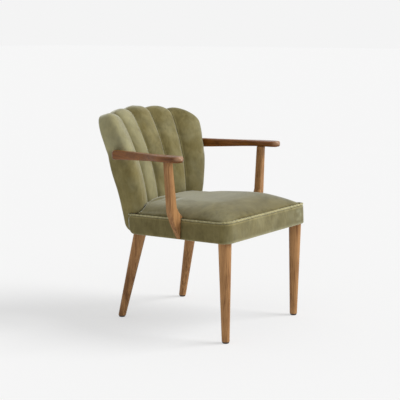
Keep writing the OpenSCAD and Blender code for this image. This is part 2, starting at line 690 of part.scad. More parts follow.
// Outline of the back from the front, set in by a pad
function back_outline(pad) = let(
    right = concat(
        [[back_side(-outline_drop) - pad / cos(back_flare), -outline_drop]],
        [for (k = [0:8]) let(a = -back_flare + k / 8 * (corner_turn + back_flare))
            [corner_x + (corner_r - pad) * cos(a), corner_h + (corner_r - pad) * sin(a)]]),
    top = [for (k = [1:11]) let(a = mix(corner_turn, 180 - corner_turn, k / 12))
        [(top_r - pad) * cos(a), top_c + (top_r - pad) * sin(a)]])
    concat(right, top, [for (k = [len(right) - 1:-1:0]) [-right[k][0], right[k][1]]]);
module back_sheet(from, to, pad) difference() {
    on_back() intersection() {
        translate([0, -plan_r, 0]) rotate_extrude($fn = 360)
            polygon(concat(shell_line(from), reversed(shell_line(to))));
        rotate([90, 0, 0]) translate([0, 0, -back_t]) linear_extrude(plan_r / 2) polygon(back_outline(pad));
    }
    below_seat(0);
}
module back_board() color(frame_timber) back_sheet(cover_t + clear, foam_back - clear, edge_pad + clear);
module outside_back_cover() color(velvet_shade) back_sheet(0, cover_t, edge_pad + clear);

// Uprights, tenoned into the rear rail
module mortise() translate([-tenon_w / 2 - clear, -tenon_d / 2 - clear, -clear])
    cube([tenon_w + 2 * clear, tenon_d + 2 * clear, 2 * tenon_l]);
function in_seat_y(h, depth) = back_foot_y + h * sin(back_angle) + depth * cos(back_angle);
module at_tenon() {
    line = mix(inner_line, post_line, 0.5);
    depth = plan_depth(column_x(line, rail_h), foam_back + upright_d / 2);
    h = (rail_top + depth * sin(back_angle)) / cos(back_angle);
    on_seat() translate([column_x(line, h), in_seat_y(h, depth), rail_h]) children();
}
module upright(side) color(frame_timber) mirrored(side) difference() {
    union() {
        difference() {
            on_back() lofted([for (k = [0:10]) let(h = mix(10, upright_top_h, k / 10)) concat(
                [for (t = [0, 0.5, 1]) upright_point(t, h, upright_front - clear)],
                [for (t = [1, 0.5, 0]) upright_point(t, h, foam_back)])]);
            below_seat(rail_top);
        }
        at_tenon() translate([-tenon_w / 2, -tenon_d / 2, -tenon_l])
            cube([tenon_w, tenon_d, tenon_l + tenon_up]);
    }
    on_back() arm_bolt_rod_in_back();
}
function upright_point(t, h, inside) = let(
    x = column_x(mix(inner_line + [clear, 0], post_line - [clear, 0], t), h))
    [x, plan_depth(x, shell_depth(h, inside)), h];
module back_upright_left() upright(1);
module back_upright_right() upright(-1);

// Sill between the uprights, on which the channels stand
module back_sill() color(frame_timber) difference() {
    on_back() intersection() {
        difference() {
            shell_solid(foam_back);
            translate([0, -plan_r, -big / 2]) cylinder(r = plan_r - foam_back - sill_d, h = big, $fn = 360);
            translate([-big / 2, -big / 2, channel_foot_h - clear]) cube(big);
        }
        rotate([90, 0, 0]) translate([0, 0, -back_t]) linear_extrude(plan_r / 2)
            polygon([for (p = [[-1, 0], [1, 0], [1, 1], [-1, 1]])
                [p[0] * (column_x(inner_line, p[1] * channel_foot_h) - clear), p[1] * channel_foot_h]]);
    }
    below_seat(rail_top);
}

// Arms
function chair_back_h(y, z) = (z - foot_z) * cos(rake) + (y - foot_y) * sin(rake);
function smooth(t) = let(k = min(1, max(0, t))) k * k * (3 - 2 * k);
function arm_x(y) = mix(arm_inner_x + arm_rear_w / 2, paddle_x,
    smooth((arm_rear_y - y) / (arm_rear_y - arm_tip_y - paddle_nose)));
function arm_half(y) = 0.5 * mix(arm_rear_w, paddle_w,
    smooth((paddle_start_y - y) / (paddle_start_y - paddle_full_y)));
function arm_top(y) = arm_h - arm_fall * (y - arm_tip_y) / (arm_rear_y - arm_tip_y);
function arm_t(y) = mix(arm_rear_t, arm_front_t,
    min(1, (arm_rear_y - y) / (arm_rear_y - post_y - post_top_d)));
function fade(distance, reach) = distance >= reach ? 1 : sqrt(1 - pow(1 - distance / reach, 2));
function round_power(v) = sign(v) * pow(abs(v), arm_square);
function arm_ring(y) = let(
    front = y - arm_tip_y,
    rear = arm_rear_y - y,
    half = arm_half(y) * fade(front, paddle_nose) * fade(rear, arm_end_r),
    thick = arm_t(y) / 2 * fade(front, arm_edge) * fade(rear, arm_edge),
    z = arm_top(y) - arm_t(y) / 2)
    [for (k = [0:15]) let(a = 180 - 360 * (k + 0.5) / 16)
        [arm_x(y) + half * round_power(cos(a)), y, z + thick * round_power(sin(a))]];
module armrest(side) color(timber) mirrored(side) in_chair() difference() {
    lofted([for (y = arm_stations) arm_ring(y)]);
    at_dowel() cylinder(d = dowel_d, h = dowel_l, center = true);
    arm_bolt_rod();
}
module armrest_left() armrest(1);
module armrest_right() armrest(-1);

// Bolts through the uprights into the arms
module arm_bolt_rod() {
    start = back_side(chair_back_h(arm_bolt_y, arm_bolt_z)) - pad_x - upright_w;
    translate([start, arm_bolt_y, arm_bolt_z]) rotate([0, 90, 0]) {
        cylinder(d = arm_bolt_d, h = arm_inner_x + arm_bolt_grip - start);
        cylinder(d = arm_bolt_head_d, h = arm_bolt_head_h);
    }
}
module arm_bolt_rod_in_back() rotate([back_angle, 0, 0]) translate([0, -back_foot_y, 0])
    rotate([seat_tilt, 0, 0]) translate([0, 0, -seat_bottom_h]) arm_bolt_rod();
module arm_back_bolts() color(steel) in_chair() both_sides() arm_bolt_rod();

// Dowels between posts and arms
module at_dowel() translate([post_top_x, post_y, post_top_z]) children();
module arm_dowels() color(frame_timber) in_chair() both_sides() at_dowel()
    cylinder(d = dowel_d, h = dowel_l, center = true);

// Arm posts, faceted, lapped on the outside of the band
module beside_seat() translate([seat_half(post_y), post_y, 0]) rotate([0, 0, side_angle]) children();
function post_section(z, inner, outer, front, rear) = let(
    c = min(post_chamfer, (outer - inner) / 4, (rear - front) / 4)) [
    [inner, front + c, z], [inner + c, front, z], [outer - c, front, z], [outer, front + c, z],
    [outer, rear - c, z], [outer - c, rear, z], [inner + c, rear, z], [inner, rear - c, z]];
module arm_post(side) color(timber_light) mirrored(side) in_chair() difference() {
    seat_z = seat_bottom_h - post_y * sin(seat_tilt);
    foot = seat_z + post_foot_up;
    shoulder = seat_z + welt_z + welt_r + shoulder_up;
    top_in = post_top_x - seat_half(post_y) - post_top_w / 2;
    beside_seat() lofted(concat(
        [for (s = POST_LAP) post_section(foot + s[0], post_gap, s[1], s[2], s[3])],
        [for (s = POST_NECK) post_section(
            shoulder + s[0], s[1], waist_in + post_waist_w * s[2], -post_waist_d / 2 - over, post_rear)],
        [post_section(post_top_z, top_in, top_in + post_top_w, -post_top_d / 2, post_top_d / 2)]));
    at_dowel() cylinder(d = dowel_d, h = dowel_l, center = true);
    post_bolts_in_place();
}
module arm_post_left() arm_post(1);
module arm_post_right() arm_post(-1);

// Bolts through the side rails into the posts
module post_bolts_in_place() beside_seat() for (i = [0, 1])
    translate([-frame_in - side_rail_t, 0, seat_bottom_h - post_y * sin(seat_tilt) + post_bolt_heights[i]])
        rotate([0, 90, 0]) {
            cylinder(d = arm_bolt_d, h = frame_in + side_rail_t + post_gap + post_bolt_grip[i]);
            cylinder(d = arm_bolt_head_d, h = arm_bolt_head_h);
        }
module post_bolt_rods() in_chair() post_bolts_in_place();
module arm_post_bolts() color(steel) both_sides() post_bolt_rods();

front_leg_left();
front_leg_right();
rear_leg_left();
rear_leg_right();
leg_glides();
leg_bolts();
front_rail();
rear_rail();
side_rail_left();
side_rail_right();
corner_blocks();
webbing_lengthwise();
webbing_crosswise();
dust_cover();
seat_foam();
seat_cushion();
seat_band();
seat_welt();
back_board();
back_upright_left();
back_upright_right();
back_sill();
back_channel_1();
back_channel_2();
back_channel_3();
back_channel_4();
back_channel_5();
outside_back_cover();
armrest_left();
armrest_right();
arm_post_left();
arm_post_right();
arm_dowels();
arm_post_bolts();
arm_back_bolts();
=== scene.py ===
"""Looks of an upholstered dining armchair, built round its packed frame."""

import math

import bmesh
import bpy
from mathutils import Matrix, Vector, noise


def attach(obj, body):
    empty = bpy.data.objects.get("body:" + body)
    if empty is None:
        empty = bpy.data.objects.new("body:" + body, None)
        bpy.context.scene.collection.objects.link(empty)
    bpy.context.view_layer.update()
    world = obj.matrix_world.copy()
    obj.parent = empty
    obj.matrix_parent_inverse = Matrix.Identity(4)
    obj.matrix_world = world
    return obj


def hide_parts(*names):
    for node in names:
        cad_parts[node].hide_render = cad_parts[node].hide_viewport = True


bl_info = {
    "name": "Channelled Dining Armchair",
    "version": (1, 0, 0),
    "blender": (4, 5, 0),
    "location": "View3D > Sidebar > Armchair",
    "description": "Builds the velvet, the timber and the studio of a dining armchair round its frame",
    "category": "Add Mesh",
}

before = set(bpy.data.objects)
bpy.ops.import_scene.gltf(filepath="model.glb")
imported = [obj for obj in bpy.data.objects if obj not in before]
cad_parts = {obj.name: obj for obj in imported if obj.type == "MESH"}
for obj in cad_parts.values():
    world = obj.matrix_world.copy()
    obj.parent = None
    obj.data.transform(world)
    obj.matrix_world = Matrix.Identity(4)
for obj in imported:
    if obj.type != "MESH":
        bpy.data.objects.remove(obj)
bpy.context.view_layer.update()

# space between neighbours that don't touch
CLEAR = 0.0003
# the cushion lies inside the seat's outline by the piping and this gap
CUSHION_GAP = 7 * CLEAR


def length(name, description, default):
    """A size in metres."""
    return bpy.props.FloatProperty(
        name=name, description=description, default=default, unit="LENGTH", precision=4
    )


def angle(name, description, degrees):
    """An angle, given in degrees."""
    return bpy.props.FloatProperty(
        name=name, description=description, default=math.radians(degrees), subtype="ANGLE"
    )


def colour(name, description, default):
    """A linear colour."""
    return bpy.props.FloatVectorProperty(
        name=name, description=description, default=default, size=3, subtype="COLOR", min=0, max=1
    )


def share(name, description, default, most=1.0):
    """A plain factor."""
    return bpy.props.FloatProperty(
        name=name, description=description, default=default, min=0, max=most, subtype="FACTOR"
    )


class SeatSettings(bpy.types.PropertyGroup):
    """Sizes of the seat."""

    middle: length("Middle", "Distance from the seat's front to the chair's middle", 0.349788)
    bottom: length("Bottom", "Height of the band's lower edge at the front", 0.378)
    front_width: length("Front width", "Width of the seat at its front", 0.552)
    rear_width: length("Rear width", "Width of the seat at its rear end", 0.448)
    depth: length("Depth", "Depth of the band from front to rear", 0.508)
    tilt: angle("Tilt", "Backward slope of the seat", 3.1)
    band_height: length("Band height", "Height of the band", 0.073)
    band_thickness: length("Band thickness", "Thickness of the band", 0.006)
    corner: length("Corner", "Radius of the front corners", 0.035)
    band_end: length("Band end", "Rounding of the band's lower corner at its rear ends", 0.024)
    band_shoulder: length("Band shoulder", "Rounding of the band's upper corner at its rear ends", 0.008)
    band_soft: length("Band softness", "Rounding of the band's long edges", 0.0052)
    piping: length("Piping", "Diameter of the piping", 0.006)
    crown: length("Crown", "Height of the cushion's crown above the band", 0.055)


class BackSettings(bpy.types.PropertyGroup):
    """Sizes of the back."""

    height: length("Height", "Height along the slope from the seat's underside", 0.495)
    foot_width: length("Foot width", "Width of the back at its foot", 0.411)
    flare: angle("Flare", "Outward lean of the sides", 10.6)
    lean: angle("Lean", "Backward lean from square to the seat", 13.1)
    step: length("Step", "Distance of the back's lower corner behind the band", 0.011)
    thickness: length("Thickness", "Thickness at the seams, where the back is thickest", 0.080)
    belly: length("Belly", "Height at which the back is thickest", 0.238)
    front_curve: length("Front curve", "Radius of the front from the side", 0.700)
    plan: length("Plan", "Radius of the back in plan", 0.646)
    hollow: length("Hollow", "Radius of the outside back from the side", 1.700)
    hollow_height: length("Hollow height", "Height at which the outside back is hollowest", 0.280)
    foot_round: length("Foot round", "Rounding of the outside back's lower edge", 0.042)
    corner: length("Corner", "Radius of the upper corners", 0.080)
    top_curve: length("Top curve", "Radius of the top edge", 0.760)
    middle_channel: length("Middle channel", "Width of the middle channel", 0.096)
    next_channel: length("Next channel", "Width of the channels beside it", 0.093)
    swell: length("Swell", "How far a channel swells in front of its seams", 0.022)
    scallop: length("Scallop", "Depth of the valley between two channels at the top", 0.012)
    channel_foot: length("Channel foot", "Height at which the channels start", 0.084)
    front_round: length("Front round", "Rounding of the front edges at the outline", 0.036)
    rear_round: length("Rear round", "Rounding of the rear edges at the outline", 0.009)
    pad: length("Pad", "Padding between the board and the outline", 0.018)
    board: length("Board", "Depth of board and cover behind the channels", 0.0166)
    cover: length("Cover", "Thickness of the outside back's cover", 0.004)
    upright_width: length("Upright width", "Width of the uprights", 0.026)
    upright_depth: length("Upright depth", "Depth of the uprights", 0.046)


class ArmSettings(bpy.types.PropertyGroup):
    """Sizes of the arms."""

    height: length("Height", "Height of the arms' top at the paddle's tip", 0.688)
    fall: length("Fall", "How much lower the arms' top is at their rear end", 0.005)
    front_thickness: length("Front thickness", "Thickness at the paddle", 0.023)
    rear_thickness: length("Rear thickness", "Thickness at the rear end", 0.037)
    rear_width: length("Rear width", "Width along the rear", 0.030)
    paddle_width: length("Paddle width", "Width of the paddle", 0.056)
    tip: length("Tip", "Distance of the paddle's tip from the seat's front", 0.168)
    nose: length("Nose", "Length of the paddle's round front end", 0.034)
    full: length("Full width", "Distance from the seat's front to the full width", 0.245)
    start: length("Start", "Distance from the seat's front at which the arm widens", 0.358)
    rear: length("Rear", "Distance of the rear end from the seat's front", 0.539)
    rear_x: length("Rear place", "Distance of the rear end's middle from the chair's middle", 0.277646)
    paddle_x: length("Paddle place", "Distance of the paddle's middle from the chair's middle", 0.323331)
    post: length("Post", "Distance of the post from the seat's front", 0.241)
    edge: length("Edge", "Rounding of the long edges", 0.0085)


class LayerSettings(bpy.types.PropertyGroup):
    """Sizes of the hidden layers of the seat."""

    straps: bpy.props.IntProperty(name="Straps", description="Straps in each direction", default=5, min=1)
    strap_width: length("Strap width", "Width of a webbing strap", 0.050)
    strap_thickness: length("Strap thickness", "Thickness of a webbing strap", 0.0014)
    strap_gap: length("Strap gap", "Space between the two layers of webbing", 0.0002)
    rail_height: length("Rail height", "Height of the seat rails", 0.056)
    front_rail: length("Front rail", "Thickness of the front rail", 0.036)
    side_rail: length("Side rail", "Thickness of the side rails", 0.024)
    rear_inset: length("Rear rail", "Distance of the rear rail's front from the band's rear end", 0.050)
    slab: length("Slab", "Thickness of the foam slab", 0.013)
    slab_gap: length("Slab gap", "Space between the foam slab and the back", 0.004)
    cloth_in: length("Cloth edge", "Distance of the dust cover inside the frame", 0.004)
    leg_width: length("Leg width", "Width of a leg at its top", 0.049)
    leg_room: length("Leg room", "Space round a leg in the dust cover", 0.003)
    front_leg_x: length("Front leg place", "Distance of a front leg from the middle", 0.2412)
    front_leg_y: length("Front leg distance", "Distance of a front leg from the seat's front", 0.037)
    rear_leg_x: length("Rear leg place", "Distance of a rear leg from the middle", 0.1701)
    rear_leg_y: length("Rear leg distance", "Distance of a rear leg from the seat's front", 0.497)


class VelvetSettings(bpy.types.PropertyGroup):
    """Colours of the velvet."""

    deep: colour("Deep", "Colour where the pile stands towards the eye", (0.126, 0.102, 0.034))
    light: colour("Light", "Colour where the pile is brushed over", (0.245, 0.204, 0.082))
    sheen: share("Sheen", "Strength of the pale sheen at grazing angles", 1.0)
    sheen_spread: share("Sheen spread", "Roughness of the sheen", 0.34)
    sheen_tint: colour("Sheen tint", "Colour of the sheen", (0.93, 0.96, 0.87))
    # painted sheen: the pale colour added where the nap_and_sheen attribute says
    nap_and_sheen: colour("Nap", "What a panel gains where its pile lies towards the light", (0.127, 0.137, 0.104))
    # painted shade: what is left of the colour deep in a seam
    painted_seam_shade: colour("Fold", "What is left of the colour deep in a seam", (0.30, 0.28, 0.22))


class TimberSettings(bpy.types.PropertyGroup):
    """Colours of the stained timber."""

    arm_light: colour("Arm light", "Lighter grain of the arms", (0.215, 0.078, 0.014))
    arm_dark: colour("Arm dark", "Darker grain of the arms", (0.086, 0.027, 0.005))
    # painted highlight on the arms' paddle tips, in place of a reflection in the varnish
    painted_highlight: colour("Worn", "Colour of the varnish where it is rubbed", (0.33, 0.185, 0.102))
    leg_light: colour("Leg light", "Lighter grain of the legs and posts", (0.430, 0.226, 0.092))
    leg_dark: colour("Leg dark", "Darker grain of the legs and posts", (0.175, 0.078, 0.029))
    raw_light: colour("Raw light", "Lighter grain of the bare frame", (0.66, 0.48, 0.29))
    raw_dark: colour("Raw dark", "Darker grain of the bare frame", (0.50, 0.33, 0.18))


class StageSettings(bpy.types.PropertyGroup):
    """Light, floor and camera of the studio."""

    floor: colour("Floor", "Colour of the floor", (0.90, 0.90, 0.90))
    paper: share("Paper", "Brightness of the plain background", 0.905)
    lift: share("Lift", "How much of the shadow the background's own brightness takes out", 0.60)
    ambient: share("Ambient", "Strength of the light from all round", 0.52, 4)
    sun: share("Sun", "Strength of the main lamp", 2.60, 20)
    sun_width: angle("Sun width", "Angle over which the main lamp spreads", 32)
    sun_turn: angle("Sun turn", "Angle of the main lamp from the chair's front, towards its left", 38)
    sun_height: angle("Sun height", "Angle of the main lamp above the floor", 41)
    azimuth: angle("Azimuth", "Angle of the camera from the chair's front, towards its right", 53.17)
    elevation: angle("Elevation", "Angle of the camera above the floor", 9.48)
    distance: length("Distance", "Distance from the camera to its target", 4.306)
    focal: bpy.props.FloatProperty(
        name="Focal length", description="Focal length on a 36 mm sensor", default=90.69, unit="CAMERA"
    )


SETTINGS = {
    "armchair_seat": SeatSettings,
    "armchair_back": BackSettings,
    "armchair_arms": ArmSettings,
    "armchair_layers": LayerSettings,
    "armchair_velvet": VelvetSettings,
    "armchair_timber": TimberSettings,
    "armchair_stage": StageSettings,
}


def mix(a, b, t):
    """Between a at 0 and b at 1."""
    return a * (1 - t) + b * t


def smooth(t):
    """An even rise from 0 to 1."""
    t = min(1.0, max(0.0, t))
    return t * t * (3 - 2 * t)


def eased(x, start, end):
    """0 at start and 1 at end, with an even rise between them. The end may lie before the start."""
    return smooth((x - start) / (end - start))


def hill(x, middle, width):
    """1 at a middle, and falling away smoothly on both sides."""
    return math.exp(-((x - middle) / width) ** 2)


def quarter(distance, radius):
    """A round end's share of its full size, from 0 at the tip to 1 a radius inside."""
    return math.sqrt(max(0, 1 - max(0, 1 - distance / radius) ** 2))


def rounding(distance, radius):
    """Set-back of a rounded edge at a distance inside it."""
    if distance >= radius:
        return 0.0
    return radius - math.sqrt(radius**2 - (radius - max(distance, 0.0)) ** 2)


class Seat:
    """The seat's own frame: Y 0 at its front, Z 0 at its lower edge."""

    SIDE_STEPS, CORNER_STEPS, FRONT_STEPS = 60, 16, 40
    LEAST_CORNER = 0.002

    def __init__(self, context):
        self.s = s = context.scene.armchair_seat
        self.slope = (s.front_width - s.rear_width) / 2 / s.depth
        self.matrix = Matrix.Translation((0, -s.middle, s.bottom)) @ Matrix.Rotation(-s.tilt, 4, "X")
        self.frame_in = s.band_thickness + CLEAR
        self.cushion_in = (s.piping + CUSHION_GAP) / math.cos(math.atan(self.slope))
        self.welt_z = s.band_height + CLEAR + s.piping / 2
        self.wing_foot_z = self.welt_z + s.piping / 2 + 2 * CLEAR

    def half(self, y):
        """Half the seat's width at a distance from its front."""
        return self.s.front_width / 2 - self.slope * y

    def path(self, inset, end):
        """The seat's outline from its rear right end round the front to its rear left end, as points."""
        radius = max(self.LEAST_CORNER, self.s.corner - inset)
        lean = math.atan(self.slope)
        mid_y = inset + radius
        # the corner's middle lies one radius inside the sloping side
        mid_x = self.half(mid_y) - inset / math.cos(lean) - radius / math.cos(lean)
        points = []
        start = Vector((-(mid_x + radius * math.cos(lean)), mid_y + radius * math.sin(lean)))
        last = Vector((-(self.half(end) - inset / math.cos(lean)), end))
        for k in range(self.SIDE_STEPS + 1):
            points.append(last.lerp(start, k / self.SIDE_STEPS))
        for k in range(1, self.CORNER_STEPS + 1):
            turn = mix(-lean, math.pi / 2, k / self.CORNER_STEPS)
            points.append(Vector((-(mid_x + radius * math.cos(turn)), mid_y - radius * math.sin(turn))))
        half = [p.copy() for p in points]
        for k in range(1, self.FRONT_STEPS):
            points.append(half[-1].lerp(Vector((-half[-1].x, half[-1].y)), k / self.FRONT_STEPS))
        points += [Vector((-p.x, p.y)) for p in reversed(half)]
        return points


class Back:
    """The back's own frame: Z along its slope, Y 0 at the outside back's lower middle."""

    # how far the rounding of its foot reaches below the seat's lower edge
    FOOT_DROP = 0.010

    def __init__(self, context):
        self.s = s = context.scene.armchair_back
        self.seat = seat = Seat(context)
        self.foot_half = s.foot_width / 2
        self.foot_y = seat.s.depth + s.step - self.plan_depth(self.foot_half, 0) * math.cos(s.lean)
        lean = Matrix.Rotation(-s.lean, 4, "X")
        self.matrix = seat.matrix @ Matrix.Translation((0, self.foot_y, 0)) @ lean
        cos, tan = math.cos(s.flare), math.tan(s.flare)
        self.top_middle = s.height - s.top_curve
        reach = s.top_curve - s.corner
        k = self.foot_half - s.corner / cos + self.top_middle * tan
        root = math.sqrt((k * math.sin(s.flare)) ** 2 - k * k + reach * reach)
        self.corner_h = self.top_middle + cos * (-k * math.sin(s.flare) + root)
        self.corner_x = self.side(self.corner_h) - s.corner / cos
        self.corner_turn = math.atan2(self.corner_h - self.top_middle, self.corner_x)
        belly_half = self.side(s.belly)
        self.seam_in = s.middle_channel / 2 / belly_half
        self.seam_out = (s.middle_channel / 2 + s.next_channel) / belly_half
        self.foot_c = s.foot_round - self.FOOT_DROP
        self.pad_x = s.pad / cos
        self.upright_front = s.board + s.upright_depth + CLEAR

    def side(self, h):
        """Half the back's width at a height along it, without its round corners."""
        return self.foot_half + h * math.tan(self.s.flare)

    def plan_depth(self, x, inside):
        """Depth of the surface that lies a distance inside the outside back."""
        return math.sqrt((self.s.plan - inside) ** 2 - x * x) - self.s.plan

    def hollow(self, h):
        """How far the outside back curves in at a height."""
        return self.s.hollow - math.sqrt(self.s.hollow**2 - (h - self.s.hollow_height) ** 2)

    def shell(self, h, inside):
        """Depth of the outside back from the side: hollow, and rounded under at the foot."""
        s = self.s
        if h >= self.foot_c:
            return math.sqrt((s.hollow + inside) ** 2 - (h - s.hollow_height) ** 2) - s.hollow
        under = math.sqrt(max(0, (s.foot_round - inside) ** 2 - (self.foot_c - h) ** 2))
        return s.foot_round - self.hollow(self.foot_c) - under

    def seam_t(self, h):
        """Thickness of the back at its seams."""
        return self.s.thickness - (h - self.s.belly) ** 2 / (2 * self.s.front_curve)

    def inside_outline(self, x, h):
        """Distance inside the back's smooth outline."""
        s = self.s
        dx, dh = x - self.corner_x, h - self.corner_h
        if dx * math.sin(s.flare) + dh * math.cos(s.flare) <= 0:
            return (self.side(h) - x) * math.cos(s.flare)
        if math.cos(self.corner_turn) * dh - math.sin(self.corner_turn) * dx < 0:
            return s.corner - math.hypot(dx, dh)
        return s.top_curve - math.hypot(x, h - self.top_middle)

    def line(self, part, shift=0.0):
        """A line up the back at a part of its half width: its place at corner_h and its lean."""
        return (part * self.side(self.corner_h) + shift, part * math.tan(self.s.flare))

    def lobe(self, part):
        """Place across an outer channel, from -1 at its seam to 1 at the side."""
        return 2 * (part - self.seam_out) / (1 - self.seam_out) - 1

    def line_x(self, line, h):
        """Place of such a line at a height."""
        return line[0] + line[1] * (h - self.corner_h)

    def circle_h(self, line, x, h, r):
        """Height at which a line leaves a circle."""
        a = 1 + line[1] ** 2
        dx, dh = line[0] - x, h - self.corner_h
        b, k = dx * line[1] - dh, dx * dx + dh * dh - r * r
        return self.corner_h + (-b + math.sqrt(max(0, b * b - a * k))) / a

    def line_top(self, line, pad):
        """Height of a line's end on the outline, set in by a pad."""
        s = self.s
        line = (abs(line[0]), abs(line[1]))
        h = self.circle_h(line, self.corner_x, self.corner_h, s.corner - pad)
        if self.line_x(line, h) >= self.corner_x * (s.top_curve - pad) / (s.top_curve - s.corner):
            return h
        return self.circle_h(line, 0, self.top_middle, s.top_curve - pad)

    def wing_foot(self, depth):
        """Height of the foot of what stands on the piping, at a depth."""
        lean = self.s.lean
        return (self.seat.wing_foot_z + depth * math.sin(lean)) / math.cos(lean)


def block(cuts):
    """A closed block from -1 to 1 along each axis, cut into a grid."""
    bm = bmesh.new()
    bmesh.ops.create_cube(bm, size=2)
    for axis, count in enumerate(cuts):
        along = [e for e in bm.edges if abs(e.verts[0].co[axis] - e.verts[1].co[axis]) > 1.9]
        bmesh.ops.subdivide_edges(bm, edges=along, cuts=count, use_grid_fill=True)
    return bm


def mark(obj, name, value):
    """Gives each point of a piece a number, which its material reads."""
    layer = obj.data.attributes.new(name, "FLOAT", "POINT")
    for v, spot in zip(obj.data.vertices, layer.data):
        spot.value = value(v.co)


def form(bm, place, matrix=None):
    """Moves each point of a block to where place(x, y, z) says, then through a matrix."""
    for v in bm.verts:
        v.co = Vector(place(*v.co))
    if matrix is not None:
        bmesh.ops.transform(bm, matrix=matrix, verts=bm.verts)
    return bm


def station(path, u):
    """Point of a path and its outward direction, at u from -1 to 1."""
    last = len(path) - 1
    i = round((u + 1) / 2 * last)
    way = (path[min(i + 1, last)] - path[max(i - 1, 0)]).normalized()
    return path[i], Vector((way.y, -way.x))


def tube(path, sides, centre):
    """A round bar along a path; centre(point, outwards) gives its middle and its radius."""
    bm = bmesh.new()
    bmesh.ops.create_cone(bm, cap_ends=True, segments=sides, radius1=1, radius2=1, depth=2)
    along = [e for e in bm.edges if abs(e.verts[0].co.z - e.verts[1].co.z) > 1.9]
    bmesh.ops.subdivide_edges(bm, edges=along, cuts=len(path) - 2, use_grid_fill=True)

    def place(x, y, z):
        point, outwards = station(path, z)
        middle, radius = centre(point, outwards)
        across = Vector((outwards.x, outwards.y, 0)) * x
        return middle + (across + Vector((0, 0, y))) * radius

    form(bm, place)
    bmesh.ops.recalc_face_normals(bm, faces=bm.faces)
    return bm


def rumple(co, size, depth, seed=0.0):
    """A gentle unevenness of stuffed cloth, the same in every run."""
    return depth * noise.noise(co / size + Vector((seed, seed, seed)))


def mirrored(bm):
    """A copy of a mesh on the chair's other side."""
    other = bm.copy()
    bmesh.ops.scale(other, vec=(-1, 1, 1), verts=other.verts)
    bmesh.ops.recalc_face_normals(other, faces=other.faces)
    return other


def join(parts):
    """Several meshes as one."""
    whole = bmesh.new()
    for bm in parts:
        spare = bpy.data.meshes.new("spare")
        bm.to_mesh(spare)
        bm.free()
        whole.from_mesh(spare)
        bpy.data.meshes.remove(spare)
    return whole


def piece(name, bm, material, nodes=(), shade=True):
    """A finished object that rides on the chair."""
    mesh = bpy.data.meshes.new(name)
    bm.to_mesh(mesh)
    bm.free()
    for polygon in mesh.polygons:
        polygon.use_smooth = shade
    mesh.materials.append(material)
    obj = bpy.data.objects.new(name, mesh)
    bpy.context.scene.collection.objects.link(obj)
    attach(obj, "root")
    if nodes:
        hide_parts(*nodes)
    return obj


def modified(obj):
    """Applies an object's modifiers to its mesh."""
    graph = bpy.context.evaluated_depsgraph_get()
    mesh = bpy.data.meshes.new_from_object(obj.evaluated_get(graph))
    old = obj.data
    name = old.name
    obj.modifiers.clear()
    obj.data = mesh
    bpy.data.meshes.remove(old)
    mesh.name = name


def evened(obj, times):
    """Smooths a piece's mesh a little, a number of times."""
    every_way = {"use_axis_x": True, "use_axis_y": True, "use_axis_z": True}
    bm = bmesh.new()
    bm.from_mesh(obj.data)
    for _ in range(times):
        bmesh.ops.smooth_vert(bm, verts=bm.verts, factor=0.5, **every_way)
    bm.to_mesh(obj.data)
    bm.free()


# times that a filled piece is smoothed, and frames that its cloth takes to fill
AFTER_FILLING = 2
FILLING_FRAMES = 20


def upholstered(obj, voxel, evening, pressure, cap, held, bound=None):
    """Fuses a piece's blocks under one skin, lets pressure fill it as padding does, and smooths it."""
    remesh = obj.modifiers.new("Skin", "REMESH")
    remesh.mode = "VOXEL"
    remesh.voxel_size = voxel
    remesh.use_smooth_shade = True
    modified(obj)
    evened(obj, evening)
    inflate(obj, pressure, cap, held)
    evened(obj, AFTER_FILLING)
    if bound is not None:
        for v in obj.data.vertices:
            v.co = bound(v.co)
    subdivision = obj.modifiers.new("Even", "SUBSURF")
    subdivision.levels = subdivision.render_levels = 1
    modified(obj)
    for polygon in obj.data.polygons:
        polygon.use_smooth = True


def inflate(obj, pressure, cap, held):
    """Cloth under pressure, with every point kept within cap of where it was."""
    scene = bpy.context.scene
    rest = [v.co.copy() for v in obj.data.vertices]
    group = obj.vertex_groups.new(name="held")
    group.add([i for i, co in enumerate(rest) if held(co)], 1.0, "REPLACE")
    cloth = obj.modifiers.new("Cloth", "CLOTH")
    cloth.settings.vertex_group_mass = "held"
    cloth.settings.use_pressure = True
    cloth.settings.uniform_pressure_force = pressure
    cloth.settings.quality = 5
    cloth.settings.mass = 0.3
    cloth.settings.tension_stiffness = cloth.settings.compression_stiffness = 15
    cloth.settings.bending_stiffness = 0.5
    cloth.settings.effector_weights.gravity = 0
    cloth.collision_settings.use_collision = False
    cloth.point_cache.frame_start, cloth.point_cache.frame_end = 1, FILLING_FRAMES
    for number in range(1, FILLING_FRAMES + 1):
        scene.frame_set(number)
    graph = bpy.context.evaluated_depsgraph_get()
    moved = [v.co.copy() for v in obj.evaluated_get(graph).data.vertices]
    obj.modifiers.remove(cloth)
    obj.vertex_groups.clear()
    scene.frame_set(1)
    for v, a, b in zip(obj.data.vertices, rest, moved):
        step = b - a
        if step.length > cap:
            step = step.normalized() * cap
        v.co = a + step


def new_material(name, roughness, specular=0.5):
    """A material with its shader, and a function that adds nodes to it."""
    material = bpy.data.materials.new(name)
    material.use_nodes = True
    tree = material.node_tree
    shader = tree.nodes["Principled BSDF"]
    shader.inputs["Roughness"].default_value = roughness
    shader.inputs["Specular IOR Level"].default_value = specular

    def add(kind, values=(), **settings):
        node = tree.nodes.new(kind)
        for key, value in settings.items():
            setattr(node, key, value)
        for key, value in dict(values).items():
            if isinstance(value, bpy.types.NodeSocket):
                tree.links.new(value, node.inputs[key])
            else:
                node.inputs[key].default_value = value
        return node

    return material, shader, add, tree.links.new


def place_nodes(add, turn=(0, 0, 0), scale=(1, 1, 1), shift=(0, 0, 0)):
    """Object coordinates, turned and stretched."""
    place = add("ShaderNodeTexCoord")
    mapping = add("ShaderNodeMapping", {"Vector": place.outputs["Object"]})
    mapping.inputs["Rotation"].default_value = turn
    mapping.inputs["Scale"].default_value = scale
    mapping.inputs["Location"].default_value = shift
    return mapping.outputs["Vector"]


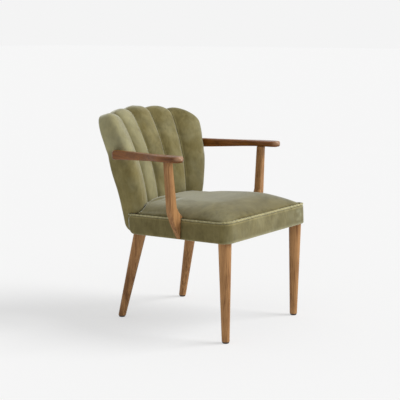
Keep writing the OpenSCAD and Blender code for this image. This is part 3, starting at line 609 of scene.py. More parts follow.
def ramp(add, source, stops):
    """A colour ramp through (place, colour) stops."""
    node = add("ShaderNodeValToRGB", {"Fac": source})
    bar = node.color_ramp
    while len(bar.elements) < len(stops):
        bar.elements.new(0.5)
    for element, (spot, paint) in zip(bar.elements, stops):
        element.position = spot
        element.color = (*paint, 1)
    return node.outputs["Color"]


def clouds(add, where, scale, detail, **more):
    """Noise with so many cells in a metre."""
    values = {"Vector": where, "Scale": scale, "Detail": detail, **more}
    return add("ShaderNodeTexNoise", values).outputs["Fac"]


def stretched(add, where, along):
    """The same place, with patterns drawn out along Z."""
    return add("ShaderNodeMapping", {"Vector": where, "Scale": (1, 1, along)}).outputs["Vector"]


def blended(add, part, a, b):
    """Two patterns mixed, with a part of the second."""
    return add("ShaderNodeMix", {0: part, 2: a, 3: b}, data_type="FLOAT").outputs[0]


def marked(add, name):
    """The number that mark() gave each point."""
    return add("ShaderNodeAttribute", attribute_name=name).outputs["Fac"]


def tinted(add, part, paint, tint, way="MIX"):
    """A colour changed by a tint, as far as a part says."""
    values = {0: part, 6: paint, 7: (*tint, 1)}
    return add("ShaderNodeMix", values, data_type="RGBA", blend_type=way).outputs[2]


def relief(add, height, strength, distance, **below):
    """The normal of a fine relief, laid over another where one is given."""
    values = {"Strength": strength, "Distance": distance, "Height": height, **below}
    return add("ShaderNodeBump", values).outputs["Normal"]


def surface(link, shader, paint, normal):
    """Gives a shader its colour and its relief."""
    link(paint, shader.inputs["Base Color"])
    link(normal, shader.inputs["Normal"])


def velvet(context, name, shift=(0, 0, 0), light=1.0):
    """Short-pile velvet: brushed patches, fine pile and a pale sheen, with painted sheen, painted highlights
    and painted shade where its attributes say.
    """
    s = context.scene.armchair_velvet
    material, shader, add, link = new_material(name, roughness=0.85, specular=0.15)
    where = place_nodes(add, shift=shift)
    patches = clouds(add, where, 9.0, 3.0, Roughness=0.6, Distortion=0.8)
    brushed = clouds(add, stretched(add, where, 0.45), 46.0, 4.0, Roughness=0.62, Distortion=1.1)
    pile = clouds(add, where, 1500.0, 2.0, Roughness=0.65)
    tone = blended(add, 0.10, blended(add, 0.42, patches, brushed), pile)
    # painted highlight: paler along the seams and edges that the rim_highlight attribute marks
    edge = add("ShaderNodeMath", {0: marked(add, "rim_highlight"), 1: brushed}, operation="MULTIPLY").outputs[0]
    lifted = add("ShaderNodeMath", {0: edge, 1: 0.40, 2: tone}, operation="MULTIPLY_ADD").outputs[0]
    deep, pale = (tuple(min(1, c * light) for c in paint) for paint in (s.deep, s.light))
    over = tuple(min(1, c * 1.5) for c in pale)
    paint = ramp(add, lifted, [(0.36, deep), (0.64, pale), (0.92, over)])
    # painted sheen where the nap_and_sheen attribute says, then painted shade deep in the seams
    paint = tinted(add, marked(add, "nap_and_sheen"), paint, s.nap_and_sheen, "ADD")
    paint = tinted(add, marked(add, "painted_seam_shade"), paint, s.painted_seam_shade, "MULTIPLY")
    nap_and_sheen = relief(add, brushed, 0.22, 0.002)
    surface(link, shader, paint, relief(add, pile, 0.35, 0.0006, Normal=nap_and_sheen))
    shader.inputs["Sheen Weight"].default_value = s.sheen
    shader.inputs["Sheen Roughness"].default_value = s.sheen_spread
    shader.inputs["Sheen Tint"].default_value = (*s.sheen_tint, 1)
    return material


def timber(name, light, dark, turn=(0, 0, 0), shift=(0, 0, 0), gloss=0.5, coat=0.04, painted_highlight=None):
    """Stained wood with its grain along Z before it is turned, with a painted highlight where the
    painted_highlight attribute says.
    """
    material, shader, add, link = new_material(name, roughness=gloss, specular=0.12)
    where = place_nodes(add, turn=turn, shift=shift)
    wide = clouds(add, stretched(add, where, 0.05), 75.0, 5.0, Roughness=0.6, Distortion=1.4)
    fine = clouds(add, stretched(add, where, 0.025), 620.0, 3.0, Roughness=0.7)
    blotch = clouds(add, where, 9.0, 2.0)
    tone = blended(add, 0.28, blended(add, 0.35, wide, fine), blotch)
    middle = tuple(mix(a, b, 0.45) for a, b in zip(light, dark))
    pale = tuple(min(1, c * 1.2) for c in light)
    paint = ramp(add, tone, [(0.39, dark), (0.47, middle), (0.55, light), (0.66, pale)])
    if painted_highlight is not None:
        paint = tinted(add, marked(add, "painted_highlight"), paint, painted_highlight)
    surface(link, shader, paint, relief(add, fine, 0.25, 0.0006))
    shader.inputs["Coat Weight"].default_value = coat
    shader.inputs["Coat Roughness"].default_value = 0.25
    return material


def woven(name, paint_a, paint_b, pitch, turn=(0, 0, 0)):
    """Plain weave of two tones."""
    material, shader, add, link = new_material(name, roughness=0.9, specular=0.2)
    where = place_nodes(add, turn=turn)
    checks = add("ShaderNodeTexChecker", {"Vector": where, "Scale": 1 / pitch}).outputs["Fac"]
    tone = blended(add, 0.5, checks, clouds(add, where, 0.35 / pitch, 3.0))
    surface(link, shader, ramp(add, tone, [(0.2, paint_a), (0.8, paint_b)]), relief(add, tone, 0.4, 0.0005))
    return material


def foam(name):
    """Open-celled foam."""
    material, shader, add, link = new_material(name, roughness=0.95, specular=0.1)
    cells = add("ShaderNodeTexVoronoi", {"Vector": place_nodes(add), "Scale": 900.0}).outputs["Distance"]
    paint = ramp(add, cells, [(0.1, (0.62, 0.57, 0.44)), (0.7, (0.80, 0.76, 0.64))])
    surface(link, shader, paint, relief(add, cells, 0.4, 0.0006))
    return material


def plated(name):
    """Zinc-plated steel with fine turning marks."""
    material, shader, add, link = new_material(name, roughness=0.38)
    marks = clouds(add, place_nodes(add, scale=(1, 1, 8)), 260.0, 3.0)
    paint = ramp(add, marks, [(0.35, (0.50, 0.51, 0.53)), (0.65, (0.64, 0.65, 0.67))])
    surface(link, shader, paint, relief(add, marks, 0.15, 0.0003))
    shader.inputs["Metallic"].default_value = 1.0
    return material


def moulded(name):
    """Dark moulded plastic, scuffed underneath."""
    material, shader, add, link = new_material(name, roughness=0.55)
    scuffs = clouds(add, place_nodes(add), 420.0, 4.0)
    paint = ramp(add, scuffs, [(0.35, (0.020, 0.012, 0.008)), (0.7, (0.055, 0.036, 0.024))])
    surface(link, shader, paint, relief(add, scuffs, 0.2, 0.0003))
    return material


# the channels' lip over the board: its start above the board's edge, its least height, and its blend
LIP_IN = 0.0012
LIP_LEAST = 0.006
LIP_BLEND = 0.0015
# least thickness of a channel, and how its rows gather towards its top
LEAST_PAD = 0.003
ROW_GATHER = 1.35


def channel_front(back, x, h, swell, top=math.inf):
    """Depth inside the outside back of a channel's front."""
    gap = min(top - h, back.inside_outline(abs(x), h))
    return back.seam_t(h) + back.s.swell * swell - rounding(gap, back.s.front_round)


def channel_rear(back, x, h, behind, top=math.inf, lip=math.inf):
    """Depth inside the outside back of what a channel rests on."""
    gap = min(top - h, back.inside_outline(abs(x), h))
    over = back.shell(h, 0) + rounding(gap, back.s.rear_round)
    if behind is None:
        return over
    return mix(back.shell(h, behind), over, smooth((h - lip) / LIP_BLEND))


def channel_part(back, lines, behind, foot, cuts, crown=0.0):
    """A block of a channel between two lines up the back; lines(u) gives (line, swell, dip)."""
    bm = block(cuts)

    def place(u, w, v):
        line, swell, dip = lines(u)
        top = back.line_top(line, 0) - back.s.scallop * dip + crown * swell
        lip = min(back.line_top(line, back.s.pad - LIP_IN) + CLEAR, top - LIP_LEAST)
        rise = 1 - (0.5 - v / 2) ** ROW_GATHER
        low = foot(line, swell)
        h = [mix(low[k], top, rise) for k in (0, 1)]
        x = [back.line_x(line, h[k]) for k in (0, 1)]
        rear = channel_rear(back, x[1], h[1], behind, top, lip)
        front = channel_front(back, x[0], h[0], swell, top) - foot_tuck(back, line, h[0])
        a = Vector((x[0], back.plan_depth(x[0], max(front, rear + LEAST_PAD)), h[0]))
        b = Vector((x[1], back.plan_depth(x[1], rear), h[1]))
        return a.lerp(b, (w + 1) / 2)

    return form(bm, place, back.matrix)


def lobe_lines(back, low, high):
    """Lines across an inner channel from seam to seam."""
    def lines(u):
        t = math.sin(math.pi / 2 * u)
        part = mix(low, high, (t + 1) / 2)
        return back.line(part, -t * CLEAR / 2), math.sqrt(1 - t * t), t * t
    return lines


def outer_lines(back, low, high):
    """Lines across a part of an outer channel, between two places at corner_h with their leans."""
    def lines(u):
        k = (math.sin(math.pi / 2 * u) + 1) / 2
        line = (mix(low[0], high[0], k), mix(low[1], high[1], k))
        lobe = back.lobe(line[0] / back.side(back.corner_h))
        return line, math.sqrt(max(0, 1 - lobe * lobe)), lobe * lobe if lobe < 0 else 0.0
    return lines


def sill_foot(back):
    """Channels that stand on the sill."""
    return lambda line, swell: (back.s.channel_foot, back.s.channel_foot)


# how deep an outer channel is drawn back at its foot, over what share of the width and between what heights
TUCK = 0.003
TUCK_SPREAD = 0.25
TUCK_LOW, TUCK_HIGH = 0.070, 0.135


def foot_tuck(back, line, h):
    """How far an outer channel's front is drawn back just above the piping."""
    outer = eased(line[0] / back.side(back.corner_h), back.seam_out, back.seam_out + TUCK_SPREAD)
    return TUCK * outer * eased(h, TUCK_HIGH, TUCK_LOW)


def wing_foot(back, behind):
    """Channels that stand on the piping beside the cushion."""
    def foot(line, swell):
        h = back.s.channel_foot
        x = back.line_x(line, h)
        depths = (channel_front(back, x, h, swell), channel_rear(back, x, h, behind))
        return [back.wing_foot(back.plan_depth(x, depth)) for depth in depths]
    return foot


# how far the lower corner reaches up into its channel, and its least thickness
CORNER_LAP = 0.012
CORNER_LEAST = 0.002


def lower_corner(back, inner, outer):
    """The side wall's foot, behind the rear end of the seat's band."""
    bm = block((8, 14, 20))
    s = back.s
    face = back.seat.s.depth + CLEAR

    def place(u, w, v):
        k = (math.sin(math.pi / 2 * u) + 1) / 2
        line = (mix(inner[0], outer[0], k), mix(inner[1], outer[1], k))
        h = mix(back.foot_c - s.foot_round, s.channel_foot + CORNER_LAP, (v + 1) / 2)
        x = back.line_x(line, h)
        rear = back.plan_depth(x, channel_rear(back, x, h, None))
        # front on the upright plane behind the band: y of the seat's frame is foot_y + h sin + depth cos
        front = min((face - back.foot_y - h * math.sin(s.lean)) / math.cos(s.lean), rear - CORNER_LEAST)
        return Vector((x, mix(front, rear, (w + 1) / 2), h))

    return form(bm, place, back.matrix)


# channels whose tops swell higher than their neighbours'
CROWNS = {3: 0.004, 5: 0.004}
# overlap of the blocks that an outer channel is made of
BLOCK_LAP = 0.002
# height over which an outer channel's upper corner is drawn, how far it falls, and how far it comes in
CORNER_PULLS = {5: (0.120, 0.016, 0.012), 1: (0.150, -0.018, -0.003)}
# height below the top at which the whole of that pull is reached
CORNER_FULL = 0.020
# height, spread and depth of the pinch where the arm meets the back, and of the bulge under it
ARM_PINCH = (0.305, 0.015, 0.0026)
ARM_BULGE = (0.235, 0.055, 0.0066)
# how far a filled side may stand proud
SIDE_ROOM = 0.007
# what the filling leaves in place: this much in front of the board, and above the channels' foot
HELD_DEPTH = 0.012
HELD_FOOT = 0.004


class ARMCHAIR_OT_channels(bpy.types.Operator):
    """Adds the five padded channels of the back"""

    bl_idname = "armchair.channels"
    bl_label = "Channels"

    def execute(self, context):
        back = Back(context)
        self.inner_channels(context, back)
        self.outer_channels(context, back)
        return {"FINISHED"}

    def inner_channels(self, context, back):
        """The three channels between the seams."""
        s = back.s
        inverse = back.matrix.inverted()
        sides = {
            2: (-back.seam_out, -back.seam_in),
            3: (-back.seam_in, back.seam_in),
            4: (back.seam_in, back.seam_out),
        }
        for number, (low, high) in sides.items():
            bm = channel_part(back, lobe_lines(back, low, high), s.board, sill_foot(back), (17, 11, 60),
                              crown=CROWNS.get(number, 0.0))

            def within(co, low=low, high=high):
                p = inverse @ co
                limits = [back.line_x(back.line(part), p.z) for part in (low, high)]
                p.x = min(max(p.x, limits[0] + CLEAR / 2), limits[1] - CLEAR / 2)
                return back.matrix @ p

            self.finished(context, back, number, bm, within)

    def outer_channels(self, context, back):
        """The two channels that wrap round the uprights to the outside back."""
        s = back.s
        inverse = back.matrix.inverted()
        side = (back.side(back.corner_h), math.tan(s.flare))
        post = (side[0] - back.pad_x, side[1])
        inner = (post[0] - s.upright_width - 2 * CLEAR, post[1])
        past_inner = (inner[0] + BLOCK_LAP, inner[1])
        past_post = (post[0] + BLOCK_LAP, post[1])
        seam = back.line(back.seam_out, CLEAR / 2)
        over_upright = wing_foot(back, back.upright_front)
        # from, to, what is behind, foot, cuts
        blocks = (
            (seam, past_inner, s.board, sill_foot(back), (10, 11, 60)),
            (inner, past_post, back.upright_front, over_upright, (8, 8, 60)),
            (post, side, None, wing_foot(back, None), (9, 14, 60)),
        )
        for number, sign in {5: 1, 1: -1}.items():
            crown = CROWNS.get(number, 0.0)
            parts = [
                channel_part(back, outer_lines(back, low, high), behind, foot, cuts, crown)
                for low, high, behind, foot, cuts in blocks
            ]
            bm = join([*parts, lower_corner(back, post, side)])
            if sign < 0:
                bm = mirrored(bm)

            def within(co, sign=sign, pull=CORNER_PULLS[number]):
                height, fall, draw = pull
                p = inverse @ co
                limit, half = back.line_x(seam, p.z), back.side(p.z)
                out = sign * p.x
                corner = eased(out / half, 0.62, 1.0) * eased(p.z, s.height - height, s.height - CORNER_FULL)
                arm = hill(p.z, *ARM_PINCH[:2]) * ARM_PINCH[2] - hill(p.z, *ARM_BULGE[:2]) * ARM_BULGE[2]
                drawn = out - draw * corner - arm * eased(out / half, 0.80, 1.0)
                p.x = sign * min(max(drawn, limit), half + SIDE_ROOM)
                p.z -= fall * corner
                return back.matrix @ p

            self.finished(context, back, number, bm, within)

    @staticmethod
    def mark_sheen_and_shade(obj, back, inverse):
        """Marks the painted highlight along the seams, the painted shade deep in them, and the painted sheen
        on each channel with its random pile variation.
        """
        seams = [back.line(part) for part in (-back.seam_out, -back.seam_in, back.seam_in, back.seam_out)]

        def seam_gap(p):
            return min(abs(p.x - back.line_x(seam, p.z)) for seam in seams)

        # painted highlight along each seam
        def rim_highlight(co):
            return hill(seam_gap(inverse @ co), 0.0028, 0.0020)

        # painted shade deep in each seam
        def painted_seam_shade(co):
            return 0.85 * hill(seam_gap(inverse @ co), 0, 0.0017)

        def nap_and_sheen(co):
            p = inverse @ co
            across = p.x / back.side(p.z)
            up = p.z / back.s.height
            # the painted sheen lies on the channels' fronts and on the first channel's upper side wall
            middle = back.plan_depth(p.x, back.seam_t(p.z) * 0.55)
            front = eased(p.y, middle, middle - 0.030)
            right_wall = eased(up, 0.52, 0.72) * eased(across, -0.6, -0.9)
            # painted sheen: palest on the second channel, and on the first only high up
            second = 0.62 * hill(across, -0.48, 0.28)
            first = 0.62 * hill(across, -0.92, 0.22) * eased(up, 0.42, 0.70)
            left = 0.20 * eased(across, 0.5, 0.9)
            low = 0.10 * eased(up, 0.45, 0.15) * eased(across, -0.3, 0.0)
            # painted light above the arm's rear end, lifting the shade there
            over_arm = 0.55 * hill(across, -0.94, 0.18) * hill(p.z, 0.326, 0.030)
            ruffled = rumple(co, 0.070, 0.35, 3.0) + rumple(co, 0.022, 0.16, 8.0)
            sheen_and_pile = max(0.0, 0.10 + second + first + left + low + over_arm + ruffled)
            return (sheen_and_pile + 0.45 * rim_highlight(co)) * max(front, right_wall)

        mark(obj, "rim_highlight", rim_highlight)
        mark(obj, "painted_seam_shade", painted_seam_shade)
        mark(obj, "nap_and_sheen", nap_and_sheen)

    def finished(self, context, back, number, bm, within):
        """A channel as a padded piece, filled and kept within its own space."""
        cloth = velvet(context, "velvet_channel_%d" % number, (0, number * 3.1, 0))
        obj = piece("channel_%d" % number, bm, cloth, ["back_channel_%d" % number])
        inverse = back.matrix.inverted()
        held_y, held_z = back.s.board + HELD_DEPTH, back.s.channel_foot + HELD_FOOT

        def held(co):
            p = inverse @ co
            return p.y > back.plan_depth(p.x, held_y) or p.z < held_z

        upholstered(obj, 0.004, 2, pressure=4.0, cap=0.004, held=held, bound=within)
        self.mark_sheen_and_shade(obj, back, inverse)


# crown of the cushion: height of its edge, how it rises from the front, and how it falls at the sides
CROWN_EDGE = 0.003
CROWN_REACH, CROWN_FRONT = 0.220, 3
CROWN_SIDE, CROWN_SOFT = 6, 0.8
# distance of its highest line from the seat's front, and its fall behind it
CROWN_TOP, CROWN_FALL = 0.240, 0.08
# height above the band below which the filling leaves the cushion's edge in place
HELD_EDGE = 0.012


def crown_height(s, t, y):
    """Height of the cushion above the band, across and along the seat."""
    near = max(0.0, 1 - (y - s.piping - CUSHION_GAP) / CROWN_REACH)
    along = (1 - near**CROWN_FRONT) ** CROWN_SOFT
    if y > CROWN_TOP:
        along -= CROWN_FALL * ((y - CROWN_TOP) / (s.depth - CROWN_TOP)) ** 2
    return CROWN_EDGE + s.crown * along * max(0.0, 1 - abs(t) ** CROWN_SIDE) ** CROWN_SOFT


def cushion_rear(back, t):
    """Distance of the cushion's rear edge from the seat's front, across the seat."""
    seat, s = back.seat, back.s
    h = s.channel_foot
    x = abs(t) * (seat.half(seat.s.depth) - seat.cushion_in)
    lobe = back.lobe(x / back.side(h))
    swell = 1 if lobe < 0 else math.sqrt(max(0, 1 - lobe * lobe))
    depth = back.plan_depth(x, channel_front(back, x, h, swell))
    return back.foot_y + h * math.sin(s.lean) + (depth - 3 * CLEAR) * math.cos(s.lean)


class ARMCHAIR_OT_cushion(bpy.types.Operator):
    """Adds the seat's domed cushion"""

    bl_idname = "armchair.cushion"
    bl_label = "Cushion"

    def execute(self, context):
        back = Back(context)
        seat, s = back.seat, back.seat.s
        bm = block((70, 60, 7))

        def place(u, v, w):
            # the rows gather towards the cushion's edges
            t = math.sin(math.pi / 2 * u)
            k = (v + 1) / 2
            k = mix(k, smooth(k), 0.6)
            y = mix(seat.cushion_in, cushion_rear(back, t), k)
            half = seat.half(y) - seat.cushion_in
            half -= rounding(y - seat.cushion_in, s.corner - seat.cushion_in)
            return Vector((t * half, y, mix(0, crown_height(s, t, y), (w + 1) / 2)))

        form(bm, place, seat.matrix @ Matrix.Translation((0, 0, s.band_height + 2 * CLEAR)))
        # painted darker than the other velvet, offsetting the stronger light on its top
        cloth = velvet(context, "velvet_cushion", (3, 0, 0), light=0.80)
        obj = piece("cushion", bm, cloth, ["seat_cushion"])
        inverse = seat.matrix.inverted()
        upholstered(obj, 0.006, 3, pressure=3.0, cap=0.004,
                    held=lambda co: (inverse @ co).z < s.band_height + HELD_EDGE)

        def nap_and_sheen(co):
            # painted sheen: paler on the cushion's right and at its rear, with random pile variation
            p = inverse @ co
            rear_sheen = 0.22 * eased(p.x - 0.6 * (p.y - 0.25), 0.12, -0.18)
            return max(0.0, rear_sheen + rumple(co, 0.090, 0.22, 4.0) + rumple(co, 0.028, 0.10, 6.0))

        mark(obj, "nap_and_sheen", nap_and_sheen)
        return {"FINISHED"}


# the band runs on a little at its rear ends, where the back pinches it
BAND_OVERRUN = 0.0012
PINCH, PINCH_LENGTH = 0.0008, 0.026
# unevenness of its cloth, and the least that is left of its thickness
SLACK, SLACK_SIZE = 0.0011, 0.045
BAND_LEAST = 0.0004
# the piping is thickest across the front, where its cloth is gathered over the cord
FRONT_PIPING = 1.36
GATHER, GATHER_TURNS = 0.00045, 800
SIDE_GATHER, SIDE_TURNS = 0.00012, 700


class ARMCHAIR_OT_band(bpy.types.Operator):
    """Adds the upholstered band round the seat and its piping"""

    bl_idname = "armchair.band"
    bl_label = "Band and piping"

    def execute(self, context):
        seat = Seat(context)
        self.band(context, seat)
        self.piping(context, seat)
        return {"FINISHED"}

    @staticmethod
    def band(context, seat):
        """The band, soft along its edges and rounded at its rear ends."""
        s = seat.s
        path = seat.path(0.0, s.depth + BAND_OVERRUN)
        ways = [0.0]
        for a, b in zip(path, path[1:]):
            ways.append(ways[-1] + (b - a).length)
        bm = block((len(path) - 2, 3, 30))

        def place(u, v, w):
            point, outwards = station(path, u)
            way = ways[round((u + 1) / 2 * (len(path) - 1))]
            end = min(way, ways[-1] - way)
            low = rounding(end, s.band_end)
            high = s.band_height - rounding(end, s.band_shoulder)
            k = mix((w + 1) / 2, (math.sin(math.pi / 2 * w) + 1) / 2, 0.7)
            z = mix(low, high, k)
            slack = rumple(Vector((point.x, point.y, z)), SLACK_SIZE, SLACK) * math.sin(math.pi * k)
            inset = rounding(z - low, s.band_soft) + rounding(high - z, s.band_soft * 0.9)
            inset += PINCH * max(0, 1 - end / PINCH_LENGTH) ** 2
            outer = min(inset - slack, s.band_thickness - BAND_LEAST)
            out = -mix(outer, s.band_thickness, (v + 1) / 2)
            return Vector((point.x + outwards.x * out, point.y + outwards.y * out, z))

        form(bm, place, seat.matrix)
        cloth = velvet(context, "velvet_band", (0, 0, 5), light=0.86)
        band = piece("band", bm, cloth, ["seat_band"])
        inverse = seat.matrix.inverted()

        # painted highlight along the band's upper and lower edges
        def rim_highlight(co):
            z = (inverse @ co).z
            return hill(z, s.band_height - 0.003, 0.0030) + 0.7 * hill(z, 0.003, 0.0035)

        def nap_and_sheen(co):
            # painted sheen on the band's front and along its lower edge, with crushed patches towards the
            # front's left end
            p = inverse @ co
            front = eased(p.y, 0.030, 0.005)
            crushed = max(0.0, rumple(Vector((p.x * 1.3, p.y, p.z * 0.7)), 0.011, 1.4, 5.0))
            patches = max(0.0, rumple(co, 0.040, 0.40, 2.0))
            sheen_and_pile = 0.16 + 0.9 * crushed * eased(p.x, 0.130, 0.250) + patches + 0.45 * hill(p.z, 0.004, 0.006)
            return sheen_and_pile * front

        mark(band, "rim_highlight", rim_highlight)
        mark(band, "nap_and_sheen", nap_and_sheen)

    @staticmethod
    def piping(context, seat):
        """The piping between the band and the cushion."""
        s = seat.s
        path = seat.path(s.piping / 2 + CLEAR, s.depth - CLEAR)

        def centre(point, outwards):
            front = eased(point.y, 0.060, 0.010)
            radius = s.piping / 2 * mix(1.0, FRONT_PIPING, front)
            radius += GATHER * math.sin(point.x * GATHER_TURNS) * front
            radius += SIDE_GATHER * math.sin(point.y * SIDE_TURNS) * (1 - front)
            shift = radius - s.piping / 2
            flat = point - outwards * shift * 0.3
            return Vector((flat.x, flat.y, seat.welt_z + shift)), radius

        bm = tube(path, 14, centre)
        bmesh.ops.transform(bm, matrix=seat.matrix, verts=bm.verts)
        # painted paler than the other velvet, in place of the light that its shaded side misses
        cloth = velvet(context, "velvet_piping", (0, 0, 9), light=1.3)
        piping = piece("piping", bm, cloth, ["seat_welt"])
        inverse = seat.matrix.inverted()

        # painted sheen, with stripes of painted light and shade along its gathers
        def nap_and_sheen(co):
            turn = co.x * GATHER_TURNS if (inverse @ co).y < 0.050 else co.y * 500
            return 0.74 + 0.42 * math.sin(turn)

        mark(piping, "nap_and_sheen", nap_and_sheen)
        # painted highlight all along the piping
        mark(piping, "rim_highlight", lambda co: 0.3)


# the cover starts this far above the back's lower edge
COVER_RISE = 0.003


class ARMCHAIR_OT_outside_back(bpy.types.Operator):
    """Adds the velvet over the outside of the back"""

    bl_idname = "armchair.outside_back"
    bl_label = "Outside back"

    def execute(self, context):
        back = Back(context)
        s = back.s
        bm = block((60, 2, 70))
        edge = s.pad + CLEAR
        foot = back.foot_c - s.foot_round + COVER_RISE

        def place(u, w, v):
            part = u * (1 - edge / math.cos(s.flare) / back.side(back.corner_h))
            line = back.line(part)
            top = back.line_top(line, edge)
            h = mix(foot, top, (v + 1) / 2)
            x = back.line_x(line, h)
            return Vector((x, back.plan_depth(x, back.shell(h, s.cover * (1 - w) / 2)), h))

        form(bm, place, back.matrix)
        cover = piece("outside_back", bm, velvet(context, "velvet_outside_back", (7, 0, 0)),
                      ["outside_back_cover"])
        return {"FINISHED"}


# depth of a post's top, over which the arm keeps its thickness
POST_DEPTH = 0.029
# rounding of the arm's rear end and of its nose from the side
REAR_ROUND = 0.015
NOSE_ROUND = 0.010
# least share of its thickness at the ends
LEAST_END = 0.12


def arm_middle(s, y):
    """Distance of the arm's middle from the chair's middle."""
    return mix(s.rear_x, s.paddle_x, smooth((s.rear - y) / (s.rear - s.tip - s.nose)))


def arm_half(s, y):
    """Half the arm's width, square at its ends."""
    return 0.5 * mix(s.rear_width, s.paddle_width, smooth((s.start - y) / (s.start - s.full)))


def arm_top(s, y):
    """Height of the arm's top."""
    return s.height - s.fall * (y - s.tip) / (s.rear - s.tip)


def arm_thickness(s, y):
    """Thickness of the arm."""
    return mix(s.rear_thickness, s.front_thickness, min(1, (s.rear - y) / (s.rear - s.post - POST_DEPTH)))


class ARMCHAIR_OT_arms(bpy.types.Operator):
    """Adds the two wooden arms"""

    bl_idname = "armchair.arms"
    bl_label = "Arms"

    def execute(self, context):
        s = context.scene.armchair_arms
        wood = context.scene.armchair_timber
        middle = context.scene.armchair_seat.middle

        def place(u, v, w):
            # ends gather their rows, so the round nose keeps its shape
            k = math.sin(math.pi / 2 * v) * 0.5 + 0.5
            y = mix(s.tip, s.rear, mix((v + 1) / 2, k, 0.75))
            front, rear = y - s.tip, s.rear - y
            half = arm_half(s, y) * quarter(front, s.nose) * quarter(rear, REAR_ROUND)
            thick = arm_thickness(s, y) / 2
            tall = thick * max(LEAST_END, min(quarter(front, NOSE_ROUND), quarter(rear, REAR_ROUND)))
            # a rounded rectangle: the square's corners are drawn in to the edge's radius
            a, b = u * half, w * tall
            r = min(s.edge, half, thick) * 0.95
            over_a, over_b = abs(a) - (half - r), abs(b) - (tall - r)
            if over_a > 0 and over_b > 0:
                keep = max(over_a, over_b) / math.hypot(over_a, over_b)
                a = math.copysign(half - r + over_a * keep, a)
                b = math.copysign(tall - r + over_b * keep, b)
            return Vector((arm_middle(s, y) + a, y - middle, arm_top(s, y) - thick + b))

        def painted_highlight(co):
            # painted highlight: the paddle's end is painted paler, most on its upper half, in place of a
            # reflection in the varnish
            end = eased(co.y + middle, s.tip + 0.024, s.tip + 0.006)
            return 0.95 * end * eased(co.z, s.height - 0.019, s.height - 0.009)

        for name, sign in {"left": 1, "right": -1}.items():
            bm = form(block((10, 90, 8)), place)
            if sign < 0:
                bm = mirrored(bm)
            grain = timber("timber_arm_" + name, wood.arm_light, wood.arm_dark, turn=(math.pi / 2, 0, 0),
                           shift=(sign * 2, 0, 0), gloss=0.36, coat=0.30, painted_highlight=wood.painted_highlight)
            arm = piece("arm_" + name, bm, grain, ["armrest_" + name])
            mark(arm, "painted_highlight", painted_highlight)
        return {"FINISHED"}


def dress(node, material, crisp=None):
    """Gives a CAD node its material, with softened edges where crisp is a radius."""
    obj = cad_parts[node]
    if not obj.material_slots:
        obj.data.materials.append(material)
    for spot in obj.material_slots:
        spot.material = material
    if crisp:
        weld = obj.modifiers.new("Weld", "WELD")
        weld.merge_threshold = 0.00002
        bevel = obj.modifiers.new("Bevel", "BEVEL")
        bevel.width = crisp
        bevel.segments = 3
        bevel.limit_method = "ANGLE"
        bevel.angle_limit = math.radians(22)


class ARMCHAIR_OT_woodwork(bpy.types.Operator):
    """Stains the legs and the arm posts"""

    bl_idname = "armchair.woodwork"
    bl_label = "Legs and posts"

    def execute(self, context):
        wood = context.scene.armchair_timber
        legs = ("front_leg_left", "front_leg_right", "rear_leg_left", "rear_leg_right")
        # place of each piece's own grain, and rounding of its edges
        parts = {node: ((number * 1.7, number, 0), None) for number, node in enumerate(legs)}
        parts |= {"arm_post_left": ((0, 4, 0), 0.0012), "arm_post_right": ((1, 4, 0), 0.0012)}
        for node, (shift, crisp) in parts.items():
            dress(node, timber("timber_" + node, wood.leg_light, wood.leg_dark, shift=shift), crisp)
        return {"FINISHED"}


class ARMCHAIR_OT_hidden_parts(bpy.types.Operator):
    """Gives the frame, the fastenings and the glides their finishes"""

    bl_idname = "armchair.hidden_parts"
    bl_label = "Frame and fastenings"

    def execute(self, context):
        wood = context.scene.armchair_timber
        # how the grain is turned, and the pieces sawn that way
        sawn = {
            "across": ((0, math.pi / 2, 0), ("front_rail", "rear_rail", "back_sill")),
            "along": ((math.pi / 2, 0, 0), ("side_rail_left", "side_rail_right", "corner_blocks")),
            "upright": ((0, 0, 0), ("back_board", "back_upright_left", "back_upright_right", "arm_dowels")),
        }
        for name, (turn, nodes) in sawn.items():
            grain = timber("timber_raw_" + name, wood.raw_light, wood.raw_dark, turn=turn,
                           gloss=0.7, coat=0.0)
            for node in nodes:
                dress(node, grain)
        steel = plated("plated_steel")
        for node in ("leg_bolts", "arm_post_bolts", "arm_back_bolts"):
            dress(node, steel)
        dress("leg_glides", moulded("moulded_glide"))
        return {"FINISHED"}


# how far a strap's woven edges stand proud, and what it is thinner than its place
SELVAGE = 0.00012
STRAP_PLAY = 0.0003
# rounding of the foam slab's edges, and the least of half its thickness there
SLAB_ROUND = 0.004
SLAB_LEAST = 0.001
# the dust cover hangs this far under the frame, and sags between the rails
CLOTH_DROP = 0.0009
CLOTH_SAG = 0.0045
CLOTH_THICKNESS = 0.0006
# rounding of its notches round the legs
NOTCH_ROUND = 0.006


